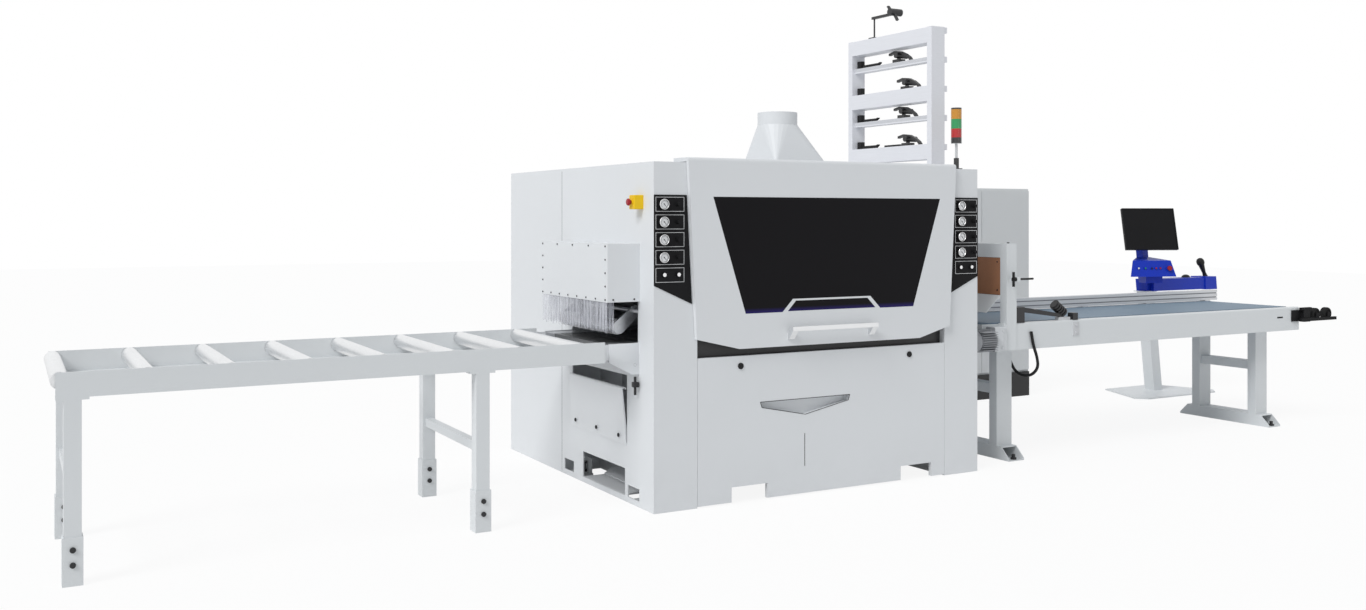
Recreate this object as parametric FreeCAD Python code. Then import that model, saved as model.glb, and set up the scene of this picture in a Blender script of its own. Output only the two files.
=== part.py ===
import FreeCAD, Part
import math
import os

# Multi rip saw line. Millimetres, +X towards the infeed end, +Y to the back, +Z up.
# The origin is on the floor, in the middle of the four anchor holes.

# Saw cabinet
CABINET_W = 2424.0
CABINET_D = 2230.0
CABINET_H = 2000.0
DRIVE_D = 928.0
SPLIT_Z = 968.0
SHEET = 8.0
PIER_W = 284.0
BED_Z = 950.0
BED_H = 100.0
BED_OUT = 190.0
LANE_FRONT = 197.0
LANE_W = 938.0
MOUTH_TOP = 1191.0
LANE_CLEAR = 3.0

# Anchoring
ANCHOR_FRONT = 255.0
ANCHOR_SPAN = 930.0
ANCHOR_INSET = 60.0
ANCHOR_R = 11.0
FOOT_PLATE = 15.0

# Front door
DOOR_T = 30.0
DOOR_SKIN = 6.0
DOOR_GAP = 2.0
DOOR_RISE = 28.0
DOOR_BACK = 150.0
DOOR_LEFT = 210.0
DOOR_TAPER = 55.0
DOOR_SIDE_Z = 978.0
DOOR_LOW_Z = 910.0
WINDOW_DOWN = 198.0
WINDOW_LOW = 1115.0
WINDOW_T = 4.0
WINDOW_SEAT = 10.0
HINGE_PIN_R = 6.0
HINGE_R = 10.0

# Lower panel
PANEL_D = 25.0
PANEL_SKIN = 6.0
PANEL_GAP = 2.0
PANEL_TOP = 865.0
PANEL_LOW = 8.0
FORK_W = 250.0
FORK_H = 96.0
LATCH_Z = 806.0
LATCH_INSET = 578.0
LATCH_R = 18.5
LATCH_STEM_R = 8.0

# Fits
RUN = 0.05
SOFT_GAP = 0.3
LOOSE = 2.0

# Saw arbor, blades and pressure roller
ARBOR_R = 35.0
BLADE_R = 168.0
BLADE_T = 4.0
BLADE_COUNT = 5
BLADE_PITCH = 120.0
TOOTH_COUNT = 20
PRESS_R = 50.0
PRESS_X = 350.0
AXLE_R = 12.0

# Outfeed hood, roller and arm
HOOD_OUT = 212.0
HOOD_DOWN = 470.0
HOOD_SHEET = 5.0
FIN_R = 45.0
FIN_COUNT = 20
ROLLER_OUT = 70.0
ROLLER_Z = 1040.0
PIVOT_IN = 40.0
PIVOT_Z = 1130.0
ARM_T = 20.0

# Roller table
TABLE_LEN = 2753.0
TABLE_GAP = 67.0
TABLE_FRONT = 100.0
TABLE_W = 1025.0
RAIL_T = 12.0
RAIL_FOOT = 45.0
RAIL_H = 117.0
RAIL_TOP = 977.0
ROLLER_R = 40.0
ROLLER_COUNT = 8
ROLLER_INSET = 17.0
ROLLER_END = 135.0
LEG = 75.0
SLEEVE = 88.0
SLEEVE_H = 222.0

# Infeed table
INFEED_START = 336.0
INFEED_LEN = 3210.0
INFEED_FRONT = 100.0
INFEED_W = 880.0
INFEED_RAIL_W = 60.0
INFEED_RAIL_H = 185.0
TRESTLE_X = 140.0
TRESTLE_Y = 73.0
BASE_H = 90.0

# Fence, gantry and console
FENCE_H = 87.0
FENCE_D = 60.0
GANTRY_TOP = 1500.0
POST_X = 91.0
POST_Y = 57.0
CONSOLE_Z = 978.0
CONSOLE_TURN = 22.0
MONITOR_W = 520.0
MONITOR_H = 402.0
MONITOR_TILT = 14.0

# Roof equipment
COLLAR_R = 130.0
COLLAR_H = 79.0
COLLAR_RISE = 287.0
HOOD_HALF = 205.0
HOOD_WALL = 3.0
HOOD_FOLDS = 6
DUCT_Y = 565.0
HOOD_SHIFT = 60.0
RACK_FRONT = 312.0
RACK_W = 936.0
RACK_X = 115.0
RACK_Y = 48.0
RACK_RISE = 987.0
LASER_COUNT = 5
LASER_PITCH = 200.0
TOWER_R = 35.0

# Derived places
DOOR_TOP = CABINET_H + DOOR_RISE
WINDOW_TOP = CABINET_H - WINDOW_DOWN
HOOD_TOP = CABINET_H - HOOD_DOWN
COLLAR_SEAT = CABINET_H + COLLAR_RISE
RACK_TOP = CABINET_H + RACK_RISE
FORK_INSET = CABINET_W * 0.2133
FORK_PITCH = CABINET_W * 0.5202
ROLLER_PITCH = (TABLE_LEN - ROLLER_INSET - ROLLER_END) / (ROLLER_COUNT - 1)
LEFT = -CABINET_W / 2
RIGHT = CABINET_W / 2
FRONT = -(ANCHOR_FRONT + ANCHOR_SPAN / 2)
BACK = FRONT + CABINET_D
SEAM = BACK - DRIVE_D
DECK_Z = BED_Z - BED_H
LANE_Y0 = FRONT + LANE_FRONT
LANE_Y1 = LANE_Y0 + LANE_W
BAY_X0 = LEFT + PIER_W
BAY_X1 = RIGHT - PIER_W
FORK_X = (LEFT + FORK_INSET, LEFT + FORK_INSET + FORK_PITCH)
FOOT_Y = (FRONT + ANCHOR_FRONT, FRONT + ANCHOR_FRONT + ANCHOR_SPAN)
ARBOR_Z = BED_Z + BLADE_R + LOOSE
RAIL_X1 = LEFT - BED_OUT - TABLE_GAP
RAIL_X0 = RAIL_X1 - TABLE_LEN
RAIL_Y0 = FRONT + TABLE_FRONT
RAIL_Y1 = RAIL_Y0 + TABLE_W
INFEED_X0 = RIGHT + INFEED_START
INFEED_X1 = INFEED_X0 + INFEED_LEN
INFEED_Y0 = FRONT + INFEED_FRONT
INFEED_Y1 = INFEED_Y0 + INFEED_W
INFEED_TOP = BED_Z + 5.0
INFEED_LOW = INFEED_TOP - INFEED_RAIL_H
POST_AT = INFEED_X0 + 17


def vec(x, y, z):
    return FreeCAD.Vector(x, y, z)


def box(x0, x1, y0, y1, z0, z1):
    return Part.makeBox(x1 - x0, y1 - y0, z1 - z0, vec(x0, y0, z0))


def rod_x(x0, x1, y, z, r):
    return Part.makeCylinder(r, x1 - x0, vec(x0, y, z), vec(1, 0, 0))


def rod_y(x, y0, y1, z, r):
    return Part.makeCylinder(r, y1 - y0, vec(x, y0, z), vec(0, 1, 0))


def rod_z(x, y, z0, z1, r):
    return Part.makeCylinder(r, z1 - z0, vec(x, y, z0), vec(0, 0, 1))


def face_of(corners):
    return Part.Face(Part.makePolygon(corners + corners[:1]))


def prism_y(points, y0, y1):
    corners = [vec(x, y0, z) for x, z in points]
    return face_of(corners).extrude(vec(0, y1 - y0, 0))


def prism_x(points, x0, x1):
    corners = [vec(x0, y, z) for y, z in points]
    return face_of(corners).extrude(vec(x1 - x0, 0, 0))


def prism_z(points, z0, z1):
    corners = [vec(x, y, z0) for x, y in points]
    return face_of(corners).extrude(vec(0, 0, z1 - z0))


def fuse(shapes):
    return shapes[0].multiFuse(shapes[1:]).removeSplitter()


def cut(shape, tools):
    return shape.cut(Part.makeCompound(tools))


def save(name, shapes):
    shape = shapes[0] if len(shapes) == 1 else Part.makeCompound(shapes)
    shape.exportStep("parts/%s.step" % name)


def shrink(points, y0, margin):
    return face_of([vec(x, y0, z) for x, z in points]).makeOffset2D(-margin, 2)


def tray(points, y0, depth, skin):
    # A sheet panel that faces -Y, with its edge turned back by depth.
    hollow = shrink(points, y0, skin).extrude(vec(0, depth, 0))
    hollow.translate(vec(0, skin, 0))
    return prism_y(points, y0, y0 + depth).cut(hollow)


def framed_hole(panel, points, y0, depth, skin, seat):
    # A hole in a tray with its rim turned back; the outline lies on a seat round the hole.
    rim = shrink(points, y0, seat - skin).extrude(vec(0, depth, 0))
    hole = shrink(points, y0 - 1, seat).extrude(vec(0, depth + 2, 0))
    return panel.fuse(rim).cut(hole)


def tube_box(x0, x1, y0, y1, z0, z1, wall, axis):
    # A rectangular tube, open at both ends of the named axis.
    inset = {name: (0 if name == axis else wall) for name in "xyz"}
    reach = {name: (1 if name == axis else 0) for name in "xyz"}
    inner = box(
        x0 + inset["x"] - reach["x"], x1 - inset["x"] + reach["x"],
        y0 + inset["y"] - reach["y"], y1 - inset["y"] + reach["y"],
        z0 + inset["z"] - reach["z"], z1 - inset["z"] + reach["z"])
    return box(x0, x1, y0, y1, z0, z1).cut(inner)


def hexagon_z(x, y, z0, z1, r):
    points = [(x + r * math.cos(math.radians(60 * i)), y + r * math.sin(math.radians(60 * i))) for i in range(6)]
    return prism_z(points, z0, z1)


# Saw cabinet

WASTE_Y0 = FRONT + 366.0
WASTE_Y1 = FRONT + 968.0
WASTE_LOW = 34.0
WASTE_TOP = 196.0
CHUTE_Y0 = FRONT + 340.0
CHUTE_Y1 = FRONT + 1132.0
CHUTE_LOW = 350.0
CHUTE_TOP = 750.0
PLATE_TOP = 665.0
POCKET_W = 150.0
POCKET_TOP = 105.0
HOPPER_IN = 700.0
SLOPE_START = 150.0
KEEPER_H = 28.0
KEEPER_DOWN = 16.0
STOP_W = 30.0


def foot_plate(side, y):
    # A plate on the floor inside the pier, with an anchor hole and a levelling screw's hole.
    inner = LEFT + SHEET if side < 0 else RIGHT - SHEET
    far = inner - side * 130.0
    plate = box(min(inner, far), max(inner, far), y - POCKET_W / 2, y + POCKET_W / 2, 0, FOOT_PLATE)
    anchor = rod_z(anchor_x(side), y, -1, FOOT_PLATE + 1, ANCHOR_R)
    screw = rod_z(screw_x(side), y, -1, FOOT_PLATE + 1, AXLE_R + 2 * RUN)
    return cut(plate, [anchor, screw])


def anchor_x(side):
    return side * (CABINET_W / 2 - ANCHOR_INSET)


def screw_x(side):
    return side * (CABINET_W / 2 - ANCHOR_INSET - 45.0)


def hopper():
    # Sloping floor and side sheets that lead the offcuts out through the left pier.
    t = SHEET
    rise = (WASTE_TOP - WASTE_LOW) * 1.9
    start = LEFT + SLOPE_START
    end = LEFT + HOPPER_IN
    floor = prism_y(
        [(start, WASTE_LOW), (end, WASTE_LOW + rise), (end, WASTE_LOW + rise + t), (start, WASTE_LOW + t)],
        WASTE_Y0, WASTE_Y1)
    at_bay = WASTE_LOW + rise * (BAY_X0 - start) / (end - start)
    side = [(BAY_X0, at_bay), (end, WASTE_LOW + rise), (end, DECK_Z - t), (BAY_X0, DECK_Z - t)]
    sheets = [prism_y(side, WASTE_Y0 - t, WASTE_Y0), prism_y(side, WASTE_Y1, WASTE_Y1 + t)]
    back = box(end, end + t, WASTE_Y0 - t, WASTE_Y1 + t, WASTE_LOW + rise, DECK_Z - t)
    return [floor, back] + sheets


def fork_cuts(y0, y1):
    return [box(x, x + FORK_W, y0, y1, -1, FORK_H) for x in FORK_X]


def lower_casing():
    s = SHEET
    outer = box(LEFT, RIGHT, FRONT, SEAM, 0, SPLIT_Z)
    bay = box(BAY_X0, BAY_X1, FRONT - 1, SEAM - s, -1, DECK_Z - s)
    front = box(BAY_X0, BAY_X1, FRONT - 1, FRONT + PANEL_D, -1, SPLIT_Z + 1)
    above = box(BAY_X0, BAY_X1, FRONT - 1, SEAM - s, DECK_Z, SPLIT_Z + 1)
    piers = [
        box(LEFT + s, BAY_X0 - s, FRONT + s, SEAM - s, -1, SPLIT_Z - s),
        box(BAY_X1 + s, RIGHT - s, FRONT + s, SEAM - s, -1, SPLIT_Z - s)]
    body = cut(outer, [bay, front, above] + piers)
    stops = [
        box(BAY_X0, BAY_X0 + STOP_W, FRONT + PANEL_D, FRONT + PANEL_D + s, 40, DECK_Z - s),
        box(BAY_X1 - STOP_W, BAY_X1, FRONT + PANEL_D, FRONT + PANEL_D + s, 40, DECK_Z - s)]
    linings = [
        box(LEFT, BAY_X0, LANE_Y0 - s, LANE_Y1 + s, DECK_Z - s, SPLIT_Z),
        box(BAY_X1, RIGHT, LANE_Y0 - s, LANE_Y1 + s, DECK_Z - s, SPLIT_Z)]
    plates = [foot_plate(side, y) for side in (-1, 1) for y in FOOT_Y]
    body = fuse([body] + stops + linings + plates + hopper())
    pockets = []
    for y in FOOT_Y:
        span = (y - POCKET_W / 2, y + POCKET_W / 2, WASTE_LOW, POCKET_TOP)
        pockets.append(box(LEFT - 1, LEFT + s + 1, *span))
        pockets.append(box(RIGHT - s - 1, RIGHT + 1, *span))
    openings = [
        box(LEFT - 1, BAY_X0 + 1, LANE_Y0, LANE_Y1, DECK_Z, SPLIT_Z + 1),
        box(BAY_X1 - 1, RIGHT + 1, LANE_Y0, LANE_Y1, DECK_Z, SPLIT_Z + 1),
        box(LEFT - 1, LEFT + s + 1, CHUTE_Y0, CHUTE_Y1, CHUTE_LOW, CHUTE_TOP),
        box(BAY_X0 - s - 1, BAY_X0 + 1, WASTE_Y0, WASTE_Y1, CHUTE_LOW, CHUTE_TOP),
        box(LEFT - 1, LEFT + s + 1, WASTE_Y0, WASTE_Y1, WASTE_LOW, WASTE_TOP),
        box(BAY_X0 - s - 1, BAY_X0 + 1, WASTE_Y0, WASTE_Y1, WASTE_LOW + 81, WASTE_TOP)]
    keeper_top = LATCH_Z - KEEPER_DOWN
    keeper = box(BAY_X0 + STOP_W, BAY_X1 - STOP_W, FRONT + PANEL_D, FRONT + PANEL_D + s,
                 keeper_top - KEEPER_H, keeper_top)
    body = cut(body, openings + pockets + fork_cuts(SEAM - s - 1, SEAM + 1))
    return welded(body, s) + [keeper]


def welded(body, s):
    # The welded casing as its two piers, the deck, the rear wall and the panel's stops.
    y0 = FRONT - 1
    regions = [
        box(LEFT - 1, BAY_X0, y0, SEAM + 1, -1, SPLIT_Z + 1),
        box(BAY_X1, RIGHT + 1, y0, SEAM + 1, -1, SPLIT_Z + 1),
        box(BAY_X0, BAY_X1, SEAM - s, SEAM + 1, -1, SPLIT_Z + 1),
        box(BAY_X0, BAY_X1, y0, SEAM - s, DECK_Z - s, SPLIT_Z + 1),
        box(BAY_X0, BAY_X1, y0, SEAM - s, -1, DECK_Z - s)]
    parts = []
    for region in regions:
        parts += body.common(region).Solids
    return parts


def side_wall(x0, x1):
    # A hollow column with the feed lane's mouth through it, open below.
    s = SHEET
    outer = box(x0, x1, FRONT, SEAM, SPLIT_Z, CABINET_H)
    hollow = box(x0 + s, x1 - s, FRONT + s, SEAM - s, SPLIT_Z - 1, CABINET_H - s)
    lining = box(x0, x1, LANE_Y0 - s, LANE_Y1 + s, SPLIT_Z, MOUTH_TOP + s)
    mouth = box(x0 - 1, x1 + 1, LANE_Y0, LANE_Y1, SPLIT_Z - 1, MOUTH_TOP)
    return fuse([outer.cut(hollow), lining]).cut(mouth)


PIVOT_R = 14.0
BOSS_R = 26.0
BOSS_L = 14.0


def outfeed_wall():
    wall = side_wall(LEFT, BAY_X0)
    x = LEFT + PIVOT_IN
    bosses = [
        rod_y(x, LANE_Y0, LANE_Y0 + BOSS_L, PIVOT_Z, BOSS_R),
        rod_y(x, LANE_Y1 - BOSS_L, LANE_Y1, PIVOT_Z, BOSS_R)]
    bores = [
        rod_y(x, LANE_Y0 - SHEET - 1, LANE_Y0 + BOSS_L + 1, PIVOT_Z, PIVOT_R + RUN),
        rod_y(x, LANE_Y1 - BOSS_L - 1, LANE_Y1 + SHEET + 1, PIVOT_Z, PIVOT_R + RUN)]
    return cut(fuse([wall] + bosses), bores)


LOUVRE_W = 320.0
LOUVRE_H = 12.0
LOUVRE_COUNT = 8
LOUVRE_PITCH = 40.0
LOUVRE_DOWN = 600.0
SERVICE_DOOR_W = CABINET_W * 0.371
SERVICE_LOW = 200.0
SERVICE_DOWN = 150.0
JOINT_W = 5.0


def rear_casing():
    # The closed drive compartment, with two flush service doors and louvres at the back.
    s = SHEET
    outer = box(LEFT, RIGHT, SEAM, BACK, 0, CABINET_H)
    hollow = box(LEFT + s, RIGHT - s, SEAM + s, BACK - s, -1, CABINET_H - s)
    arbor = rod_y(0, SEAM - 1, SEAM + s + 1, ARBOR_Z, ARBOR_R + LOOSE)
    cuts = [hollow, arbor] + fork_cuts(SEAM - 1, BACK + 1)
    for middle in (LEFT / 2, RIGHT / 2):
        x0 = middle - SERVICE_DOOR_W / 2
        x1 = middle + SERVICE_DOOR_W / 2
        z1 = CABINET_H - SERVICE_DOWN
        groove = box(x0, x1, BACK - 3, BACK + 1, SERVICE_LOW, z1)
        inside = box(x0 + JOINT_W, x1 - JOINT_W, BACK - 4, BACK + 2, SERVICE_LOW + JOINT_W, z1 - JOINT_W)
        cuts.append(groove.cut(inside))
        for i in range(LOUVRE_COUNT):
            z = CABINET_H - LOUVRE_DOWN + i * LOUVRE_PITCH
            cuts.append(box(
                middle - LOUVRE_W / 2, middle + LOUVRE_W / 2, BACK - s - 1, BACK + 1, z, z + LOUVRE_H))
    return cut(outer, cuts)


HINGE_Y = FRONT + DOOR_BACK + 15.0
HINGE_Z = CABINET_H + 16.0
HINGE_L = 60.0
HINGE_X = (-CABINET_W * 0.29, 0.0, CABINET_W * 0.29)
ROOF_T = 15.0


def hinge_cheeks(x):
    parts = [rod_x(x - HINGE_L, x + HINGE_L, HINGE_Y, HINGE_Z, HINGE_PIN_R)]
    for x0, x1 in ((x - HINGE_L, x - HINGE_L / 2 - 1), (x + HINGE_L / 2 + 1, x + HINGE_L)):
        parts.append(rod_x(x0, x1, HINGE_Y, HINGE_Z, HINGE_R))
        parts.append(box(x0, x1, HINGE_Y - HINGE_R, HINGE_Y + HINGE_R, CABINET_H - 1, HINGE_Z))
    return parts


def top_cover():
    plate = box(BAY_X0, BAY_X1, FRONT + DOOR_BACK, SEAM, CABINET_H - ROOF_T, CABINET_H)
    beam = tube_box(
        BAY_X0, BAY_X1, FRONT + DOOR_BACK, FRONT + DOOR_BACK + 60,
        CABINET_H - ROOF_T - 80, CABINET_H - ROOF_T, 6, "x")
    duct = rod_z(0, FRONT + DUCT_Y, CABINET_H - ROOF_T - 1, CABINET_H + 1, COLLAR_R)
    parts = [plate.cut(duct), beam]
    for x in HINGE_X:
        parts += hinge_cheeks(x)
    return fuse(parts)


def folded_hood(half, r, z0, z1):
    # A square to round transition: a flat triangle on each side and a fan of folds at each corner.
    centre = FRONT + DUCT_Y
    base = [vec(HOOD_SHIFT + sx * half, centre + sy * half, z0) for sx, sy in ((1, -1), (1, 1), (-1, 1), (-1, -1))]
    turn = 2 * math.pi / (4 * HOOD_FOLDS)
    ring = [vec(r * math.cos(turn * k), centre + r * math.sin(turn * k), z1) for k in range(4 * HOOD_FOLDS + 1)]
    faces = [face_of(base), face_of(ring[:-1])]
    for i in range(4):
        corner = base[(i + 1) % 4]
        first = i * HOOD_FOLDS
        faces.append(face_of([base[i], corner, ring[first]]))
        for k in range(first, first + HOOD_FOLDS):
            faces.append(face_of([corner, ring[k], ring[k + 1]]))
    return Part.makeSolid(Part.makeShell(faces))


def dust_hood():
    z0 = CABINET_H + 6.0
    w = HOOD_WALL
    reach = HOOD_HALF + 25
    flange = box(HOOD_SHIFT - reach, HOOD_SHIFT + reach, FRONT + DUCT_Y - reach, FRONT + DUCT_Y + reach,
                 CABINET_H, z0)
    outer = folded_hood(HOOD_HALF, COLLAR_R, z0, COLLAR_SEAT)
    inner = folded_hood(HOOD_HALF - w, COLLAR_R - w, z0, COLLAR_SEAT)
    collar = rod_z(0, FRONT + DUCT_Y, COLLAR_SEAT, COLLAR_SEAT + COLLAR_H, COLLAR_R)
    bore = rod_z(0, FRONT + DUCT_Y, COLLAR_SEAT - 1, COLLAR_SEAT + COLLAR_H + 1, COLLAR_R - w)
    mouth = rod_z(0, FRONT + DUCT_Y, CABINET_H - 1, z0 + 1, COLLAR_R)
    body = fuse([outer.cut(inner), collar.cut(bore)])
    return fuse([flange.cut(mouth), body])


# Front door

DOOR_RIGHT = CABINET_W - DOOR_LEFT


def window_outline():
    cx = 0.0
    return [
        (LEFT + 374, WINDOW_TOP), (RIGHT - 347, WINDOW_TOP), (RIGHT - 569, WINDOW_LOW),
        (cx + 378, WINDOW_LOW), (cx + 300, WINDOW_LOW + 77), (cx - 282, WINDOW_LOW + 77),
        (cx - 357, WINDOW_LOW), (LEFT + 595, WINDOW_LOW)]


def grip_strip_outline():
    return [(340, WINDOW_LOW + 4), (278, WINDOW_LOW + 66), (-260, WINDOW_LOW + 66), (-319, WINDOW_LOW + 4)]


ROLL_R = 18.0


def rolled_profile(y0, inner):
    # The hood's section: up the front, round the rolled edge and back; inner closes it as a thin sheet.
    z1 = DOOR_TOP
    t = DOOR_SKIN
    half = math.sqrt(0.5)
    outer_arc = Part.Arc(
        vec(0, y0, z1 - ROLL_R), vec(0, y0 + ROLL_R * (1 - half), z1 - ROLL_R * (1 - half)),
        vec(0, y0 + ROLL_R, z1)).toShape()
    back = FRONT + DOOR_BACK
    if inner:
        r = ROLL_R - t
        inner_arc = Part.Arc(
            vec(0, y0 + ROLL_R, z1 - t), vec(0, y0 + t + r * (1 - half), z1 - t - r * (1 - half)),
            vec(0, y0 + t, z1 - ROLL_R)).toShape()
        top = Part.makePolygon([vec(0, y0 + ROLL_R, z1), vec(0, back, z1), vec(0, back, z1 - t),
                                vec(0, y0 + ROLL_R, z1 - t)])
        end = Part.makePolygon([vec(0, y0 + t, z1 - ROLL_R), vec(0, y0, z1 - ROLL_R)])
        return Part.Face(Part.Wire([outer_arc] + top.Edges + [inner_arc] + end.Edges))
    low = CABINET_H + 4
    rest = Part.makePolygon([
        vec(0, y0 + ROLL_R, z1), vec(0, back, z1), vec(0, back, low), vec(0, FRONT - 8, low),
        vec(0, FRONT - 8, z1 - ROLL_R), vec(0, y0, z1 - ROLL_R)])
    return Part.Face(Part.Wire([outer_arc] + rest.Edges))


def door_hood(y0):
    x0 = LEFT + DOOR_LEFT
    x1 = RIGHT - DOOR_LEFT
    sheet = rolled_profile(y0, True)
    sheet.translate(vec(x0, 0, 0))
    parts = [sheet.extrude(vec(x1 - x0, 0, 0))]
    for x in (x0, x1 - DOOR_SKIN):
        cap = rolled_profile(y0, False)
        cap.translate(vec(x, 0, 0))
        parts.append(cap.extrude(vec(DOOR_SKIN, 0, 0)))
    parts.append(box(x0, x1, FRONT + DOOR_BACK - DOOR_SKIN, FRONT + DOOR_BACK, CABINET_H + 4, DOOR_TOP - 1))
    return parts


def upper_door():
    y0 = FRONT - DOOR_T
    low = DOOR_LEFT + DOOR_TAPER
    top = DOOR_TOP - ROLL_R
    outline = [
        (LEFT + DOOR_LEFT, top), (RIGHT - DOOR_LEFT, top), (RIGHT - low, DOOR_SIDE_Z),
        (RIGHT - low - 250, DOOR_LOW_Z), (LEFT + low + 290, DOOR_LOW_Z), (LEFT + low, DOOR_SIDE_Z)]
    depth = DOOR_T - DOOR_GAP
    front = tray(outline, y0, depth, DOOR_SKIN)
    front = framed_hole(front, window_outline(), y0, depth, DOOR_SKIN, WINDOW_SEAT)
    seats = [prism_y(edge, y0 - 1, y0 + WINDOW_T) for edge in (window_outline(), grip_strip_outline())]
    body = cut(fuse([front] + door_hood(y0)), seats)
    parts = [body]
    bores = []
    for x in HINGE_X:
        half = HINGE_L / 2
        parts.append(rod_x(x - half, x + half, HINGE_Y, HINGE_Z, HINGE_R))
        parts.append(box(x - half, x + half, FRONT + DOOR_BACK - 2, HINGE_Y, HINGE_Z - 5, HINGE_Z + 5))
        bores.append(rod_x(x - half - 1, x + half + 1, HINGE_Y, HINGE_Z, HINGE_PIN_R + RUN))
    return cut(fuse(parts), bores)


def door_window():
    y0 = FRONT - DOOR_T
    panes = []
    for outline in (window_outline(), grip_strip_outline()):
        panes.append(shrink(outline, y0, SOFT_GAP).extrude(vec(0, WINDOW_T, 0)))
    return panes


def door_handle():
    y0 = FRONT - DOOR_T
    half = 320.0
    foot = 40.0
    y1 = y0 - 58
    y2 = y1 + 16
    low = DOOR_SIDE_Z - 26
    z0 = low + 48
    z1 = z0 + 30
    bar = box(-half, half, y1, y2, z0, z1)
    bar = bar.makeFillet(4, [e for e in bar.Edges if e.BoundBox.XLength > 1])
    profile = [(y0, low), (y0, low + 34), (y2, z1 - 5), (y1 + 4, z1 - 5), (y1 + 1, z0 + 4), (y0 - 14, low)]
    feet = [prism_x(profile, x, x + foot) for x in (-half, half - foot)]
    return fuse([bar] + feet)


# Lower panel and its latches

def kite(margin):
    top = 584.0 + margin
    return [
        (-498 - margin, top), (165 + margin, top), (153 + margin, 548 - margin),
        (-172, 484 - margin), (-486 - margin, 548 - margin)]


def lower_panel():
    x0 = BAY_X0 + PANEL_GAP
    x1 = BAY_X1 - PANEL_GAP
    outline = [(x0, PANEL_TOP), (x1, PANEL_TOP), (x1, PANEL_LOW)]
    for x in reversed(FORK_X):
        outline += [(x + FORK_W, PANEL_LOW), (x + FORK_W, FORK_H), (x, FORK_H), (x, PANEL_LOW)]
    outline.append((x0, PANEL_LOW))
    panel = tray(outline, FRONT, PANEL_D, PANEL_SKIN)
    cup = prism_y(kite(PANEL_SKIN), FRONT, FRONT + 48)
    body = fuse([panel, cup]).cut(prism_y(kite(0), FRONT - 1, FRONT + 43))
    slit = box(-178, -171, FRONT - 1, FRONT + PANEL_SKIN + 1, 171, 371)
    holes = [
        rod_y(x, FRONT - 1, FRONT + PANEL_SKIN + 1, LATCH_Z, LATCH_STEM_R + RUN) for x in latch_places()]
    return cut(body, [slit] + holes)


def latch_places():
    return (LEFT + LATCH_INSET, RIGHT - LATCH_INSET)


def panel_latch(x):
    # The tongue lies free at rest; a quarter turn brings it down behind the keeper bar.
    y_tongue = FRONT + PANEL_D + SHEET + 1.5
    head = rod_y(x, FRONT - 6 - SOFT_GAP, FRONT - SOFT_GAP, LATCH_Z, LATCH_R)
    slot = box(x - 10, x + 10, FRONT - 8, FRONT - 4.5, LATCH_Z - 2, LATCH_Z + 2)
    stem = rod_y(x, FRONT - SOFT_GAP - 1, y_tongue + 5, LATCH_Z, LATCH_STEM_R)
    tongue = box(x - 10, x + 32, y_tongue, y_tongue + 5, LATCH_Z - 8, LATCH_Z + 8)
    return fuse([head.cut(slot), stem, tongue])


# Front instruments

BOX_PITCH = 101.0
BOX_TOP = CABINET_H - 203.0
INLAY_TOP = BOX_TOP + 14.0
INLAY_OUTER_H = 517.0
INLAY_INNER_H = 628.0
INLAY_W = 213.0
INLAY_FLARE = 34.0


def gauge_panels():
    solids = []
    left = [(0, INLAY_TOP), (INLAY_W, INLAY_TOP), (INLAY_W + INLAY_FLARE, INLAY_TOP - INLAY_INNER_H),
            (0, INLAY_TOP - INLAY_OUTER_H)]
    for side in (-1, 1):
        points = [(side * (CABINET_W / 2 - x), z) for x, z in left]
        solids.append(prism_y(points, FRONT - 4, FRONT))
        for i in range(4):
            z = BOX_TOP - 40 - i * BOX_PITCH
            gauge_x = LEFT + 56 if side < 0 else RIGHT - 155
            knob_x = LEFT + 150 if side < 0 else RIGHT - 42
            case = rod_y(gauge_x, FRONT - 26, FRONT - 4, z, 30)
            face = rod_y(gauge_x, FRONT - 27, FRONT - 22, z, 26)
            solids.append(case.cut(face))
            solids.append(rod_y(knob_x, FRONT - 34, FRONT - 4, z, 11))
        for x in (62, 155):
            solids.append(rod_y(side * (CABINET_W / 2 - x), FRONT - 16, FRONT - 4, BOX_TOP - 442, 14))
    return solids


ESTOP_W = 66.0
ESTOP_H = 82.0
ESTOP_OUT = 60.0
ESTOP_Y = FRONT + 160.0
ESTOP_Z = CABINET_H - 230.0
ESTOP_STEM_R = 11.0
ESTOP_TRAVEL = 6.0


def estop_box():
    case = box(LEFT - ESTOP_OUT, LEFT, ESTOP_Y - ESTOP_W / 2, ESTOP_Y + ESTOP_W / 2,
               ESTOP_Z - ESTOP_H / 2, ESTOP_Z + ESTOP_H / 2)
    case = case.makeFillet(5, [e for e in case.Edges if abs(e.CenterOfMass.x - LEFT) > 1])
    collar = rod_x(LEFT - ESTOP_OUT - 6, LEFT - ESTOP_OUT, ESTOP_Y, ESTOP_Z, 17)
    bore = rod_x(LEFT - ESTOP_OUT - 7, LEFT - ESTOP_OUT + 24, ESTOP_Y, ESTOP_Z, ESTOP_STEM_R + RUN)
    return fuse([case, collar]).cut(bore)


def turned_form(profile):
    # A form turned about Z from (radius, height) points that start and end on the axis.
    corners = [vec(r, 0, z) for r, z in profile]
    return face_of(corners).revolve(vec(0, 0, 0), vec(0, 0, 1), 360)


def mushroom_x(x, y, z):
    # A mushroom button that is pressed towards +X; x is the face that its stem goes into.
    button = turned_form([
        (0, -30), (14, -30), (19, -27), (21, -23), (21, -18), (17, -14), (ESTOP_STEM_R, -14), (ESTOP_STEM_R, 15),
        (0, 15)])
    button.rotate(vec(0, 0, 0), vec(0, 1, 0), 90)
    button.translate(vec(x, y, z))
    return button


# Outfeed side

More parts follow.
